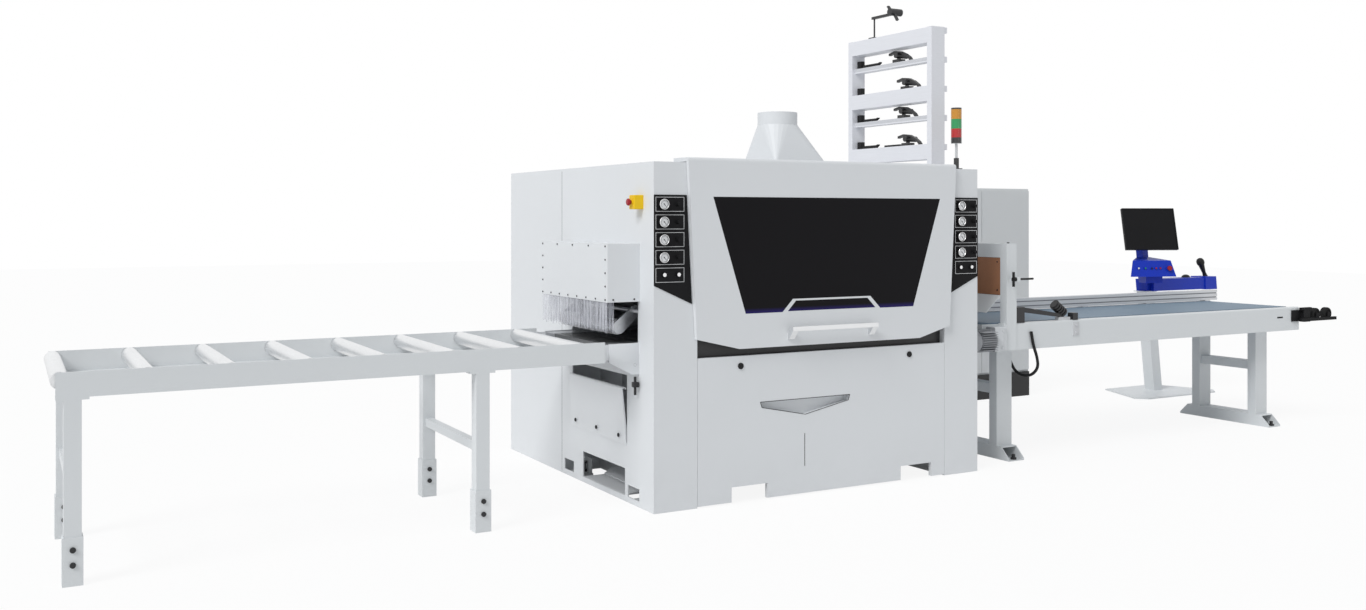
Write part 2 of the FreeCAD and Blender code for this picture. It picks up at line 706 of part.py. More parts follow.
def outfeed_hood():
    t = HOOD_SHEET
    outer = box(LEFT - HOOD_OUT, LEFT, FRONT + 171, LANE_Y1, MOUTH_TOP + 4, HOOD_TOP)
    outer = outer.makeFillet(t, [
        e for e in outer.Edges if e.BoundBox.ZLength > 10 and e.CenterOfMass.x < LEFT - 1])
    inner = box(LEFT - HOOD_OUT + t, LEFT + 1, FRONT + 171 + t, LANE_Y1 - t, MOUTH_TOP, HOOD_TOP - t)
    return outer.cut(inner)


STRIP_W = 38.0
STRIP_T = 3.0
STRIP_LOW = 1015.0


def curtain(x):
    y0 = FRONT + 171 + HOOD_SHEET + LOOSE
    y1 = LANE_Y1 - HOOD_SHEET - LOOSE
    sheet = box(x, x + STRIP_T, y0, y1, STRIP_LOW, HOOD_TOP - HOOD_SHEET)
    count = int((y1 - y0) / STRIP_W)
    pitch = (y1 - y0) / count
    cuts = []
    for i in range(1, count):
        cuts.append(box(x - 1, x + STRIP_T + 1, y0 + i * pitch - 1, y0 + i * pitch + 1,
                        STRIP_LOW - 1, MOUTH_TOP))
    for i in range(count):
        rise = 5.0 * ((i * 7) % 4)
        cuts.append(box(x - 1, x + STRIP_T + 1, y0 + i * pitch - 1, y0 + (i + 1) * pitch + 1,
                        STRIP_LOW - 1, STRIP_LOW + rise))
    return cut(sheet, cuts)


def curtain_strips():
    return [curtain(LEFT - HOOD_OUT + HOOD_SHEET), curtain(LEFT - HOOD_OUT + HOOD_SHEET + 42)]


LANE_CHAIN_Y0 = LANE_Y0 + 130
LANE_CHAIN_Y1 = LANE_Y1 - 150
CHAIN_H = 25.0
CHAIN_PITCH = 80.0
BED_X0 = LEFT - BED_OUT
BED_X1 = RIGHT + BED_OUT


def feed_bed():
    # The cast bed through both mouths, the slatted chain in its lane, and the dark apron in front.
    y0 = LANE_Y0 + LANE_CLEAR
    y1 = LANE_Y1 - LANE_CLEAR
    body = box(BED_X0, BED_X1, y0, y1, DECK_Z, BED_Z)
    lane = box(BED_X0 - 1, BED_X1 + 1, LANE_CHAIN_Y0, LANE_CHAIN_Y1, BED_Z - CHAIN_H, BED_Z + 1)
    hollow = box(BED_X0 + 20, BED_X1 - 20, y0 + 20, y1 - 20, DECK_Z - 1, BED_Z - CHAIN_H - 15)
    chain = box(BED_X0 + 4, BED_X1 - 4, LANE_CHAIN_Y0 + 1, LANE_CHAIN_Y1 - 1, BED_Z - CHAIN_H, BED_Z - 1)
    grooves = []
    x = BED_X0 + CHAIN_PITCH / 2
    while x < BED_X1 - CHAIN_PITCH / 2:
        grooves.append(box(x, x + 7, LANE_CHAIN_Y0, LANE_CHAIN_Y1, BED_Z - 13, BED_Z))
        x += CHAIN_PITCH
    y_apron = FRONT + PANEL_D + SHEET + 12
    apron = box(BAY_X0 + 1, BAY_X1 - 1, y_apron, y_apron + SHEET, DECK_Z, SPLIT_Z)
    return [cut(body, [lane, hollow]), cut(chain, grooves), apron]


CURL_R = 14.0


def outfeed_plates():
    t = 7.0
    solids = []
    profile = [(LEFT - BED_OUT, BED_Z + 5), (LEFT, BED_Z + 5), (LEFT, DECK_Z - 86), (LEFT - BED_OUT, DECK_Z + 12)]
    for y in (LANE_Y0 - t, LANE_Y1):
        solids.append(prism_y(profile, y, y + t))
    x1 = LEFT - BED_OUT
    tab = box(RAIL_X1, x1, LANE_Y0 - t, LANE_Y0, DECK_Z + 15, BED_Z)
    lug = box(RAIL_X1, RAIL_X1 + t, RAIL_Y0 + 4, LANE_Y0, DECK_Z + 15, BED_Z)
    solids.append(fuse([tab, lug]))
    far = box(RAIL_X1, x1, LANE_Y1 - t, LANE_Y1, DECK_Z + 15, BED_Z)
    far_lug = box(RAIL_X1, RAIL_X1 + t, RAIL_Y1 - RAIL_T, LANE_Y1, DECK_Z + 15, BED_Z)
    solids.append(fuse([far, far_lug]))
    solids.append(chute_cover())
    return solids


def chute_cover():
    t = 5.0
    tilt = 25.0
    low = CHUTE_LOW - 15
    top = PLATE_TOP
    y0 = CHUTE_Y0 + 5
    y1 = CHUTE_Y1 - 5
    sheet = prism_y(
        [(LEFT, low), (LEFT - t, low), (LEFT - t, CHUTE_LOW), (LEFT - tilt - t, top), (LEFT - tilt, top),
         (LEFT, CHUTE_LOW)], y0, y1)
    curl_x = LEFT - tilt - t + CURL_R
    curl = rod_y(curl_x, y0, y1, top, CURL_R).cut(rod_y(curl_x, y0 - 1, y1 + 1, top, CURL_R - t))
    below = box(curl_x - CURL_R - 1, curl_x + CURL_R + 1, y0 - 1, y1 + 1, top - CURL_R - 1, top)
    gussets = [
        prism_y([(LEFT, CHUTE_LOW), (LEFT - tilt, top), (LEFT, CHUTE_LOW + 80)], y, y + t) for y in (y0, y1 - t)]
    screws = []
    for share in (0.1, 0.5, 0.9):
        y = y0 + share * (y1 - y0)
        screws.append(rod_x(LEFT - tilt * 0.1 - t - 7, LEFT - t, y, CHUTE_LOW + 35, 9))
    return fuse([sheet, curl.cut(below)] + gussets + screws)


ARM_Y = (LANE_Y0 + 103, LANE_Y1 - 45)


def roller_arm():
    px = LEFT + PIVOT_IN
    rx = LEFT - ROLLER_OUT
    parts = [rod_y(px, LANE_Y0 - SHEET + 2, LANE_Y1 + SHEET - 2, PIVOT_Z, PIVOT_R)]
    length = math.hypot(px - rx, PIVOT_Z - ROLLER_Z)
    nx = (PIVOT_Z - ROLLER_Z) / length
    nz = -(px - rx) / length
    wide = 34.0
    for y in ARM_Y:
        parts.append(rod_y(px, y, y + ARM_T, PIVOT_Z, wide))
        parts.append(rod_y(rx, y, y + ARM_T, ROLLER_Z, wide + 6))
        corners = [
            (px + nx * wide, PIVOT_Z + nz * wide), (rx + nx * (wide + 6), ROLLER_Z + nz * (wide + 6)),
            (rx - nx * (wide + 6), ROLLER_Z - nz * (wide + 6)), (px - nx * wide, PIVOT_Z - nz * wide)]
        parts.append(prism_y(corners, y, y + ARM_T))
    bores = [rod_y(rx, y - 1, y + ARM_T + 1, ROLLER_Z, AXLE_R + RUN) for y in ARM_Y]
    return cut(fuse(parts), bores)


def fluted_roller(x, y0, y1, z, r, count, depth):
    # A steel roller with straight flutes along its length.
    points = []
    for i in range(count):
        for share, radius in ((0.0, r), (0.45, r), (0.6, r - depth), (0.85, r - depth)):
            a = 2 * math.pi * (i + share) / count
            points.append((x + radius * math.cos(a), z + radius * math.sin(a)))
    return prism_y(points, y0, y1)


def outfeed_roller():
    x = LEFT - ROLLER_OUT
    y0 = ARM_Y[0] + ARM_T + 1
    y1 = ARM_Y[1] - 1
    body = fluted_roller(x, y0, y1, ROLLER_Z, FIN_R, FIN_COUNT, 7)
    axle = rod_y(x, ARM_Y[0] - 4, ARM_Y[1] + ARM_T + 4, ROLLER_Z, AXLE_R)
    return fuse([body, axle])


# Inside the saw chamber

BEARING_L = 60.0
BEARING_BASE = 170.0
PEDESTAL_Y = LANE_Y0 - 67
BEAM_Z = 1330.0
BEAM_Y = FRONT + 620.0
BEAM_SIZE = 120.0


def saw_frame():
    rear = fuse([
        box(-BEARING_BASE, BEARING_BASE, SEAM - 20, SEAM, BED_Z + 20, ARBOR_Z + BEARING_BASE),
        rod_y(0, LANE_Y1 + 7, SEAM, ARBOR_Z, 95)])
    rear = rear.cut(rod_y(0, LANE_Y1, SEAM + 1, ARBOR_Z, ARBOR_R + RUN))
    front = fuse([
        box(-110, 110, PEDESTAL_Y, PEDESTAL_Y + BEARING_L, DECK_Z, DECK_Z + 20),
        prism_y([(-90, DECK_Z + 20), (90, DECK_Z + 20), (60, ARBOR_Z), (-60, ARBOR_Z)],
                PEDESTAL_Y, PEDESTAL_Y + BEARING_L),
        rod_y(0, PEDESTAL_Y, PEDESTAL_Y + BEARING_L, ARBOR_Z, 66)])
    front = front.cut(rod_y(0, PEDESTAL_Y - 1, PEDESTAL_Y + BEARING_L + 1, ARBOR_Z, ARBOR_R + RUN))
    beam = tube_box(BAY_X0, BAY_X1, BEAM_Y, BEAM_Y + BEAM_SIZE, BEAM_Z, BEAM_Z + BEAM_SIZE, 10, "x")
    y0 = LANE_Y0 + 45
    y1 = LANE_Y1 - 45
    bar = box(PRESS_X - 35, PRESS_X + 35, y0, y1, BEAM_Z - 60, BEAM_Z)
    hangers = [box(PRESS_X - 35, PRESS_X + 35, y, y + 15, press_z() - 35, BEAM_Z - 60) for y in (y0, y1 - 15)]
    press = fuse([beam, bar] + hangers)
    press = press.cut(rod_y(PRESS_X, y0 - 1, y1 + 1, press_z(), AXLE_R + RUN))
    return [rear, front, press]


def press_z():
    return BED_Z + 30 + PRESS_R


def pressure_roller():
    y0 = LANE_Y0 + 45
    y1 = LANE_Y1 - 45
    body = fluted_roller(PRESS_X, y0 + 16, y1 - 16, press_z(), PRESS_R, 16, 6)
    return fuse([body, rod_y(PRESS_X, y0 - 5, y1 + 5, press_z(), AXLE_R)])


def blade(y):
    # A rip blade: each tooth has a raked front, a straight back and a gullet.
    root = BLADE_R - 13
    points = []
    for i in range(TOOTH_COUNT):
        for share, radius in ((0.0, BLADE_R), (0.42, BLADE_R - 5), (0.62, root), (0.9, root)):
            a = 2 * math.pi * (i + share) / TOOTH_COUNT
            points.append((radius * math.cos(a), ARBOR_Z + radius * math.sin(a)))
    return prism_y(points, y, y + BLADE_T)


def saw_arbor():
    middle = (LANE_Y0 + LANE_Y1) / 2
    first = middle - (BLADE_COUNT - 1) * BLADE_PITCH / 2
    shaft = rod_y(0, PEDESTAL_Y - 8, SEAM - 1, ARBOR_Z, ARBOR_R)
    sleeve = rod_y(0, first - 30, first + (BLADE_COUNT - 1) * BLADE_PITCH + 34, ARBOR_Z, 55)
    blades = [blade(first + i * BLADE_PITCH) for i in range(BLADE_COUNT)]
    return fuse([shaft, sleeve] + blades)


# Outfeed roller table

LEG_X = (RAIL_X0 + 33, RAIL_X1 - 758)
LEG_PLATE = 12.0
LEG_TOP = RAIL_TOP - RAIL_H - LEG_PLATE
BRACE_Z = 424.0
BRACE_H = 48.0
AXLE_Z = RAIL_TOP + 2 - ROLLER_R
STUB_R = 10.0
BLIND = 4.0
RAIL_FOOT_T = 8.0


def roller_places():
    first = RAIL_X0 + ROLLER_INSET
    return [first + i * ROLLER_PITCH for i in range(ROLLER_COUNT)]


def roller_table_rails():
    # Two side plates with a foot flange turned in; the stub axles end inside the plates.
    rails = []
    low = RAIL_TOP - RAIL_H
    for y, foot, inside in ((RAIL_Y0, RAIL_Y0, 1), (RAIL_Y1 - RAIL_T, RAIL_Y1 - RAIL_FOOT, -1)):
        plate = fuse([
            box(RAIL_X0, RAIL_X1, y, y + RAIL_T, low, RAIL_TOP),
            box(RAIL_X0, RAIL_X1, foot, foot + RAIL_FOOT, low, low + RAIL_FOOT_T)])
        bore_y = y + BLIND if inside > 0 else y - 1
        bores = [rod_y(x, bore_y, bore_y + RAIL_T - BLIND + 1, AXLE_Z, STUB_R + RUN) for x in roller_places()]
        rails.append(cut(plate, bores))
    return rails


def table_roller(x):
    gap = 3.0
    y0 = RAIL_Y0 + RAIL_T + gap
    y1 = RAIL_Y1 - RAIL_T - gap
    tube = rod_y(x, y0, y1, AXLE_Z, ROLLER_R)
    recess = [rod_y(x, y0 - 1, y0 + 4, AXLE_Z, ROLLER_R - 4), rod_y(x, y1 - 4, y1 + 1, AXLE_Z, ROLLER_R - 4)]
    axle = rod_y(x, RAIL_Y0 + BLIND + 1, RAIL_Y1 - BLIND - 1, AXLE_Z, STUB_R)
    return fuse([cut(tube, recess), axle])


def leg_frame(x):
    ys = (RAIL_Y0, RAIL_Y1 - LEG)
    solids = []
    for y in ys:
        tube = tube_box(x, x + LEG, y, y + LEG, 60, LEG_TOP, 5, "z")
        plate = box(x - 32, x + LEG + 32, y, y + LEG, LEG_TOP, LEG_TOP + LEG_PLATE)
        solids.append(fuse([tube, plate]))
    brace = tube_box(x + 15, x + LEG - 15, ys[0] + LEG, ys[1], BRACE_Z, BRACE_Z + BRACE_H, 4, "y")
    solids.append(brace)
    return solids


def sleeve(x, y):
    grow = (SLEEVE - LEG) / 2
    x0 = x - grow
    y0 = y - grow
    tube = tube_box(x0, x0 + SLEEVE, y0, y0 + SLEEVE, 0, SLEEVE_H, grow - SOFT_GAP, "z")
    foot = box(x0, x0 + SLEEVE, y0, y0 + SLEEVE, 0, 10)
    return fuse([tube, foot])


def roller_table_legs():
    solids = []
    for x in LEG_X:
        solids += leg_frame(x)
        solids += [sleeve(x, RAIL_Y0), sleeve(x, RAIL_Y1 - LEG)]
    return solids


# Infeed table

TRESTLE_INSET = 63.0
TRESTLE_OVERHANG = 350.0
TRESTLE_FRONT = 140.0
TRESTLE_SPAN = 529.0
TRESTLE_AT = (INFEED_X0 + TRESTLE_INSET, INFEED_X1 - TRESTLE_OVERHANG)
TRESTLE_LEG_Y = (INFEED_Y0 + TRESTLE_FRONT, INFEED_Y0 + TRESTLE_FRONT + TRESTLE_SPAN)
BASE_TOE = 120.0


def infeed_rails():
    rails = []
    for y in (INFEED_Y0, INFEED_Y1 - INFEED_RAIL_W):
        rail = box(INFEED_X0, INFEED_X1, y, y + INFEED_RAIL_W, INFEED_LOW, INFEED_TOP)
        top = [
            e for e in rail.Edges
            if e.BoundBox.XLength > 100 and abs(e.CenterOfMass.z - INFEED_TOP) < 0.01]
        rail = rail.makeFillet(12, top)
        rails.append(rail.cut(box(INFEED_X0 + 6, INFEED_X1 - 6, y + 6, y + INFEED_RAIL_W - 6,
                                  INFEED_LOW + 6, INFEED_TOP - 14)))
    inner0 = INFEED_Y0 + INFEED_RAIL_W
    inner1 = INFEED_Y1 - INFEED_RAIL_W
    step = box(INFEED_X1 - 232, INFEED_X1, inner0, inner1, INFEED_LOW + 18, INFEED_LOW + 60)
    heads = [box(x, x + TRESTLE_X, inner0, inner1, INFEED_LOW, INFEED_LOW + 50) for x in TRESTLE_AT[:1]]
    z0 = INFEED_TOP - CHEEK_H
    z1 = INFEED_TOP - 6
    near = box(BED_X1, INFEED_X0 + 90, inner0, inner0 + CHEEK_T, z0, z1)
    lug = box(BED_X1, BED_X1 + CHEEK_T, inner0, LANE_Y0 + 30, z0, z1)
    far = box(BED_X1, INFEED_X0 + 90, inner1 - CHEEK_T, inner1, z0, z1)
    return rails + [step] + heads + [fuse([near, lug]), far]


CHEEK_T = 6.0
CHEEK_H = 40.0
BELT_X0 = RIGHT + 232.0
BELT_H = 96.0


def infeed_belt():
    # The flat belt round its two drums, closed by its slider bed.
    y0 = INFEED_Y0 + INFEED_RAIL_W + CHEEK_T + LOOSE
    y1 = INFEED_Y1 - INFEED_RAIL_W - CHEEK_T - LOOSE
    r = BELT_H / 2
    z = INFEED_TOP + 2 - r
    x0 = BELT_X0 + r
    x1 = INFEED_X1 - 30 - r
    return fuse([
        box(x0, x1, y0, y1, z - r, z + r),
        rod_y(x0, y0, y1, z, r),
        rod_y(x1, y0, y1, z, r),
        rod_y(x0, y0 - LOOSE, y1 + LOOSE, z, AXLE_R)])


def trestle(x):
    y0, y1 = TRESTLE_LEG_Y
    legs = [
        tube_box(x, x + TRESTLE_X, y, y + TRESTLE_Y, BASE_H, INFEED_LOW, 6, "z") for y in (y0, y1)]
    cross = tube_box(x + 20, x + TRESTLE_X - 20, y0 + TRESTLE_Y, y1, 447, 513, 5, "y")
    heads = [
        box(x, x + TRESTLE_X, INFEED_Y0 + INFEED_RAIL_W, y0 + TRESTLE_Y, INFEED_LOW, INFEED_LOW + 18),
        box(x, x + TRESTLE_X, y1, INFEED_Y1 - INFEED_RAIL_W, INFEED_LOW, INFEED_LOW + 18)]
    toe0 = y0 - BASE_TOE
    toe1 = y1 + TRESTLE_Y + BASE_TOE
    slope = BASE_H - 15
    outline = [(toe0, 0), (toe1, 0), (toe1, 15), (toe1 - slope, BASE_H), (toe0 + slope, BASE_H), (toe0, 15)]
    inside = [(toe0 - 1, 6), (toe1 + 1, 6), (toe1 + 1, BASE_H - 6), (toe0 - 1, BASE_H - 6)]
    base = prism_x(outline, x, x + TRESTLE_X).cut(prism_x(inside, x + 6, x + TRESTLE_X - 6))
    holes = [rod_z(x + TRESTLE_X / 2, y, -1, 7, AXLE_R + 2 * RUN) for y in trestle_screws()]
    solids = legs + [cross, cut(base, holes)]
    if x != TRESTLE_AT[0]:
        solids += heads
    return solids


def trestle_screws():
    y0, y1 = TRESTLE_LEG_Y
    return (y0 - BASE_TOE + 30, y1 + TRESTLE_Y + BASE_TOE - 30)


def trestles():
    solids = []
    for x in TRESTLE_AT:
        solids += trestle(x)
    return solids


def levelling_bolts():
    solids = []
    for side in (-1, 1):
        for y in FOOT_Y:
            x = screw_x(side)
            solids.append(fuse([
                rod_z(x, y, 0, 82, AXLE_R), hexagon_z(x, y, FOOT_PLATE, FOOT_PLATE + 14, 21),
                hexagon_z(x, y, 70, 84, 21)]))
    for x in TRESTLE_AT:
        for y in trestle_screws():
            cx = x + TRESTLE_X / 2
            solids.append(fuse([rod_z(cx, y, 0, 42, AXLE_R), hexagon_z(cx, y, 6, 20, 21)]))
    grow = (SLEEVE - LEG) / 2
    for x in LEG_X:
        for y in (RAIL_Y0, RAIL_Y1 - LEG):
            for z in (97, 166):
                solids.append(rod_y(x + LEG / 2, y - grow - 9, y - grow, z, 13))
    return solids


# Fence, infeed gantry and what is on it

FENCE_X0 = INFEED_X0 + 134
FENCE_X1 = INFEED_X1 + 76
FENCE_Y = INFEED_Y1 - INFEED_RAIL_W
FENCE_Z = INFEED_TOP + 7


def fence_beam():
    # An extruded beam with two grooves in its face, on spacers along the back rail.
    y0 = FENCE_Y
    y1 = y0 + FENCE_D
    z0 = FENCE_Z
    z1 = z0 + FENCE_H
    profile = [(y0, z0), (y0, z0 + 20), (y0 + 8, z0 + 20), (y0 + 8, z0 + 30), (y0, z0 + 30),
               (y0, z0 + 56), (y0 + 8, z0 + 56), (y0 + 8, z0 + 66), (y0, z0 + 66), (y0, z1), (y1, z1), (y1, z0)]
    beam = prism_x(profile, FENCE_X0, FENCE_X1)
    count = 5
    pitch = (INFEED_X1 - FENCE_X0 - 100) / (count - 1)
    feet = [
        box(FENCE_X0 + 20 + i * pitch, FENCE_X0 + 80 + i * pitch, y0, y1, INFEED_TOP, z0) for i in range(count)]
    return [beam] + feet


PIN_Z = 1260.0
CLAMP_R = 7.0
CLAMP_OUT = 58.0


def infeed_gantry():
    x0 = POST_AT
    x1 = x0 + POST_X
    y0 = INFEED_Y0
    y1 = INFEED_Y1
    near = tube_box(x0, x1, y0, y0 + POST_Y, INFEED_TOP, GANTRY_TOP, 5, "z")
    strap = box(x0, x1, y0 - STRAP_T, y0, INFEED_LOW, GANTRY_TOP)
    far = tube_box(x0, x1, y1 - POST_Y, y1, INFEED_TOP, GANTRY_TOP, 5, "z")
    beam = tube_box(x0, x1, y0 + POST_Y, y1 - POST_Y, GANTRY_TOP - 60, GANTRY_TOP, 5, "y")
    apron = box(x0, x0 + 6, y0 + POST_Y, y1 - POST_Y, BOARD_Z1, GANTRY_TOP - 60)
    slope = prism_y([(x0, BOARD_Z0), (x0 + 6, BOARD_Z0), (x0 - 124, INFEED_TOP + 75), (x0 - 130, INFEED_TOP + 75)],
                    y0 + POST_Y, y1 - POST_Y)
    lug = box(x0 + CLAMP_LUG, x0 + CLAMP_LUG + 28, y0 - CLAMP_OUT - 16, y0 - STRAP_T, PIN_Z - 14, PIN_Z + 14)
    bore = rod_x(x0 + CLAMP_LUG - 1, x0 + CLAMP_LUG + 29, y0 - CLAMP_OUT, PIN_Z, CLAMP_R + RUN)
    cap = fuse([
        box(x0, x1, y0, y0 + POST_Y, GANTRY_TOP, GANTRY_TOP + 3),
        rod_z(x0 + POST_X / 2, y0 + POST_Y / 2, GANTRY_TOP, GANTRY_TOP + 10, 9)])
    return [fuse([near, strap, lug]).cut(bore), far, beam, apron, slope, cap]


CLAMP_LUG = 32.0
STRAP_T = 6.0
BOARD_Z0 = 1146.0
BOARD_Z1 = 1405.0


def splinter_board():
    return box(POST_AT, POST_AT + 18, INFEED_Y0 + POST_Y, INFEED_Y1 - POST_Y, BOARD_Z0, BOARD_Z1)


def clamp_handle():
    # A spindle along the feed, with a cross grip at its near end.
    x = POST_AT + CLAMP_LUG
    y = INFEED_Y0 - CLAMP_OUT
    spindle = rod_x(x - 20, x + 160, y, PIN_Z, CLAMP_R)
    hub = rod_x(x - 26, x - SOFT_GAP, y, PIN_Z, 15)
    grip = rod_z(x - 20, y, PIN_Z - 50, PIN_Z + 50, 9)
    return fuse([spindle, hub, grip])


GUIDE_X = INFEED_X0 + 130.0
GUIDE_END = INFEED_X0 + 650.0


def side_guide():
    # Blocks on the front rail, the tapered guide bar between them and its ribbed grip.
    y0 = INFEED_Y0
    z0 = INFEED_TOP
    block = box(GUIDE_X - 14, GUIDE_X + 59, y0, y0 + 50, z0, z0 + 107)
    bar = prism_y([(GUIDE_X + 50, z0 + 71), (GUIDE_X + 50, z0 + 106), (GUIDE_X + 451, z0 + 42),
                   (GUIDE_X + 451, z0 + 17)], y0 + 14, y0 + 38)
    flat = box(GUIDE_X + 400, GUIDE_END + 6, y0 + 10, y0 + 50, z0, z0 + 21)
    stop = box(GUIDE_END + 5, GUIDE_END + 54, y0, y0 + 50, z0, z0 + 48)
    plate = box(GUIDE_END, GUIDE_END + 60, y0 - 6, y0, z0 - 111, z0 - 16)
    screws = [rod_y(GUIDE_END + 30, y0 - 12, y0 - 6, z0 - 64 + dz, 9) for dz in (-25, 25)]
    start = vec(GUIDE_X + 368, y0 + 30, z0 + 116)
    way = vec(105, 0, -78).normalize()
    grip = [Part.makeCylinder(28, 118, start, way)]
    for i in range(5):
        grip.append(Part.makeCylinder(36, 12, start + way * (6 + i * 23), way))
    return [fuse([block, bar]), flat, stop, fuse([plate] + screws), fuse(grip)]


MOTOR_Y = FRONT + 115.0
MOTOR_Z = 845.0
MOTOR_L = 190.0
MOTOR_R = 68.0


def gear_motor():
    # A finned motor along the feed, on the gearbox at the near end of the front rail.
    r = MOTOR_R
    x1 = INFEED_X0 - 108
    x0 = x1 - MOTOR_L
    body = rod_x(x0 + 45, x1, MOTOR_Y, MOTOR_Z, r)
    fins = []
    count = 18
    for i in range(count):
        a = 360.0 * i / count
        fin = box(x0 + 52, x1 - 12, MOTOR_Y + r - 4, MOTOR_Y + r + 9, MOTOR_Z - 3, MOTOR_Z + 3)
        fin.rotate(vec(0, MOTOR_Y, MOTOR_Z), vec(1, 0, 0), a)
        fins.append(fin)
    cover = rod_x(x0, x0 + 45, MOTOR_Y, MOTOR_Z, r + 7)
    gearbox = box(x1, INFEED_X0, MOTOR_Y - 40, INFEED_Y0 + INFEED_RAIL_W, INFEED_LOW, INFEED_TOP - 20)
    gearbox = gearbox.makeFillet(8, [e for e in gearbox.Edges if e.BoundBox.XLength > 10])
    bolts = [rod_y(x1 + 70, MOTOR_Y - 48, MOTOR_Y - 39, z, 11) for z in (INFEED_LOW + 22, INFEED_TOP - 42)]
    return fuse([body, cover, gearbox] + fins + bolts)


def route(points, r):
    # A tube along straight runs joined by tangent arcs.
    pts = [vec(*p) for p in points]
    edges = []
    start = pts[0]
    radii = []
    for a, b, c in zip(pts, pts[1:], pts[2:]):
        u = (a - b).normalize()
        w = (c - b).normalize()
        turn = math.pi - u.getAngle(w)
        reach = 0.45 * min((a - b).Length, (c - b).Length)
        radius = reach / math.tan(turn / 2)
        radii.append(round(radius, 1))
        p = b + u * reach
        q = b + w * reach
        mid_dir = (u + w).normalize()
        centre = b + mid_dir * math.hypot(reach, radius)
        m = centre - mid_dir * radius
        edges.append(Part.LineSegment(start, p).toShape())
        edges.append(Part.Arc(p, m, q).toShape())
        start = q
    edges.append(Part.LineSegment(start, pts[-1]).toShape())
    path = Part.Wire(edges)
    first = (pts[1] - pts[0]).normalize()
    ring = Part.Wire(Part.makeCircle(r, pts[0], first))
    tube = path.makePipeShell([ring], True, False)
    ratio = tube.Volume / (math.pi * r * r * path.Length)
    print("route radii", radii, "length", round(path.Length), "volume ratio", round(ratio, 4))
    return tube


CONDUIT_R = 10.5


def cable_conduits():
    # The conduit that hangs in a loop from the guide's block to the near trestle.
    y = INFEED_Y0 - 12
    leg_x = TRESTLE_AT[0] + TRESTLE_X
    leg_y = TRESTLE_LEG_Y[0] + TRESTLE_Y / 2
    loop = route([
        (leg_x + 36, y, 890), (leg_x + 52, y, 800), (leg_x + 95, y + 4, 715), (leg_x + 107, y + 4, 632),
        (leg_x + 89, y + 61, 572), (leg_x + 63, y + 142, 572), (leg_x + 45, y + 199, 632),
        (leg_x + 9, leg_y, 705)], CONDUIT_R)
    clip = box(leg_x + 20, leg_x + 52, y - 14, INFEED_Y0, 872, 900)
    saddle = box(leg_x, leg_x + 22, leg_y - 14, leg_y + 14, 690, 716)
    return [fuse([loop, clip, saddle])]


# Far end unit of the infeed table

ARM_X0 = INFEED_X1
WHEEL_R = 52.0


def end_wheel_arm():
    y0 = INFEED_Y0 - 10
    block = box(ARM_X0 - 100, ARM_X0 + 40, y0, y0 + 10, INFEED_TOP - 115, INFEED_TOP - 25)
    bar = box(ARM_X0 - 40, ARM_X0 + 420, y0 - 42, y0 - 22, INFEED_TOP - 115, INFEED_TOP - 90)
    web = box(ARM_X0 + 6, ARM_X0 + 90, y0 - 30, y0 + 10, INFEED_TOP - 120, INFEED_TOP - 20)
    hook = box(ARM_X0 - 20, ARM_X0 + 110, y0 - 30, y0 - 6, INFEED_TOP - 24, INFEED_TOP - 4)
    lugs = []
    for x in wheel_places():
        lugs.append(prism_y([(x - 26, INFEED_TOP - 100), (x + 26, INFEED_TOP - 100), (x + 14, wheel_z() + 14),
                             (x - 14, wheel_z() + 14)], y0 - 30, y0 - 22))
    axles = [rod_y(x, y0 - 30, y0 + 34, wheel_z(), AXLE_R) for x in wheel_places()]
    return fuse([block, bar, web, hook] + lugs + axles)


def wheel_z():
    return INFEED_TOP - 66.0


def wheel_places():
    return (ARM_X0 + 190, ARM_X0 + 340)


def end_wheel(x):
    y0 = INFEED_Y0 - 10 - 20
    bore = AXLE_R + RUN
    wheel = turned_form([
        (bore, 6), (34, 6), (34, 0), (WHEEL_R - 8, 0), (WHEEL_R - 2, 3), (WHEEL_R, 9), (WHEEL_R, 35),
        (WHEEL_R - 2, 41), (WHEEL_R - 8, 44), (34, 44), (34, 38), (bore, 38)])
    wheel.rotate(vec(0, 0, 0), vec(1, 0, 0), -90)
    wheel.translate(vec(x, y0, wheel_z()))
    return wheel


# Electrical cabinet

ELEC_OUT = 1628.0
ELEC_W = 1200.0
ELEC_BACK = 125.0
ELEC_D = 500.0
LOCK_Z = 1000.0
LOCK_H = 130.0
ELEC_X1 = RIGHT + ELEC_OUT + ELEC_W
ELEC_Y = BACK + ELEC_BACK
ELEC_TOP = 1950.0
PLINTH_H = 227.0


def electrical_cabinet():
    x0 = ELEC_X1 - ELEC_W
    middle = (x0 + ELEC_X1) / 2
    case = box(x0, ELEC_X1, ELEC_Y + 20, ELEC_Y + ELEC_D, PLINTH_H, ELEC_TOP)
    doors = [
        box(x0 + 12, middle - 3, ELEC_Y, ELEC_Y + 20, PLINTH_H + 20, ELEC_TOP - 20),
        box(middle + 3, ELEC_X1 - 12, ELEC_Y, ELEC_Y + 20, PLINTH_H + 20, ELEC_TOP - 20)]
    lock = box(middle + 30, middle + 52, ELEC_Y - 22, ELEC_Y, LOCK_Z, LOCK_Z + LOCK_H)
    plinth = box(x0 + 2, ELEC_X1 - 2, ELEC_Y + 4, ELEC_Y + ELEC_D - 4, 0, PLINTH_H)
    return [fuse([case, lock] + doors), plinth]


# Roof equipment

RACK_X0 = RIGHT - 124.0
RACK_BEAMS = (0.0, 2 * LASER_PITCH, 4 * LASER_PITCH)
RACK_LOW = CABINET_H + 185.0
RACK_BEAM_H = 105.0
RAIL_FLAT = 34.0


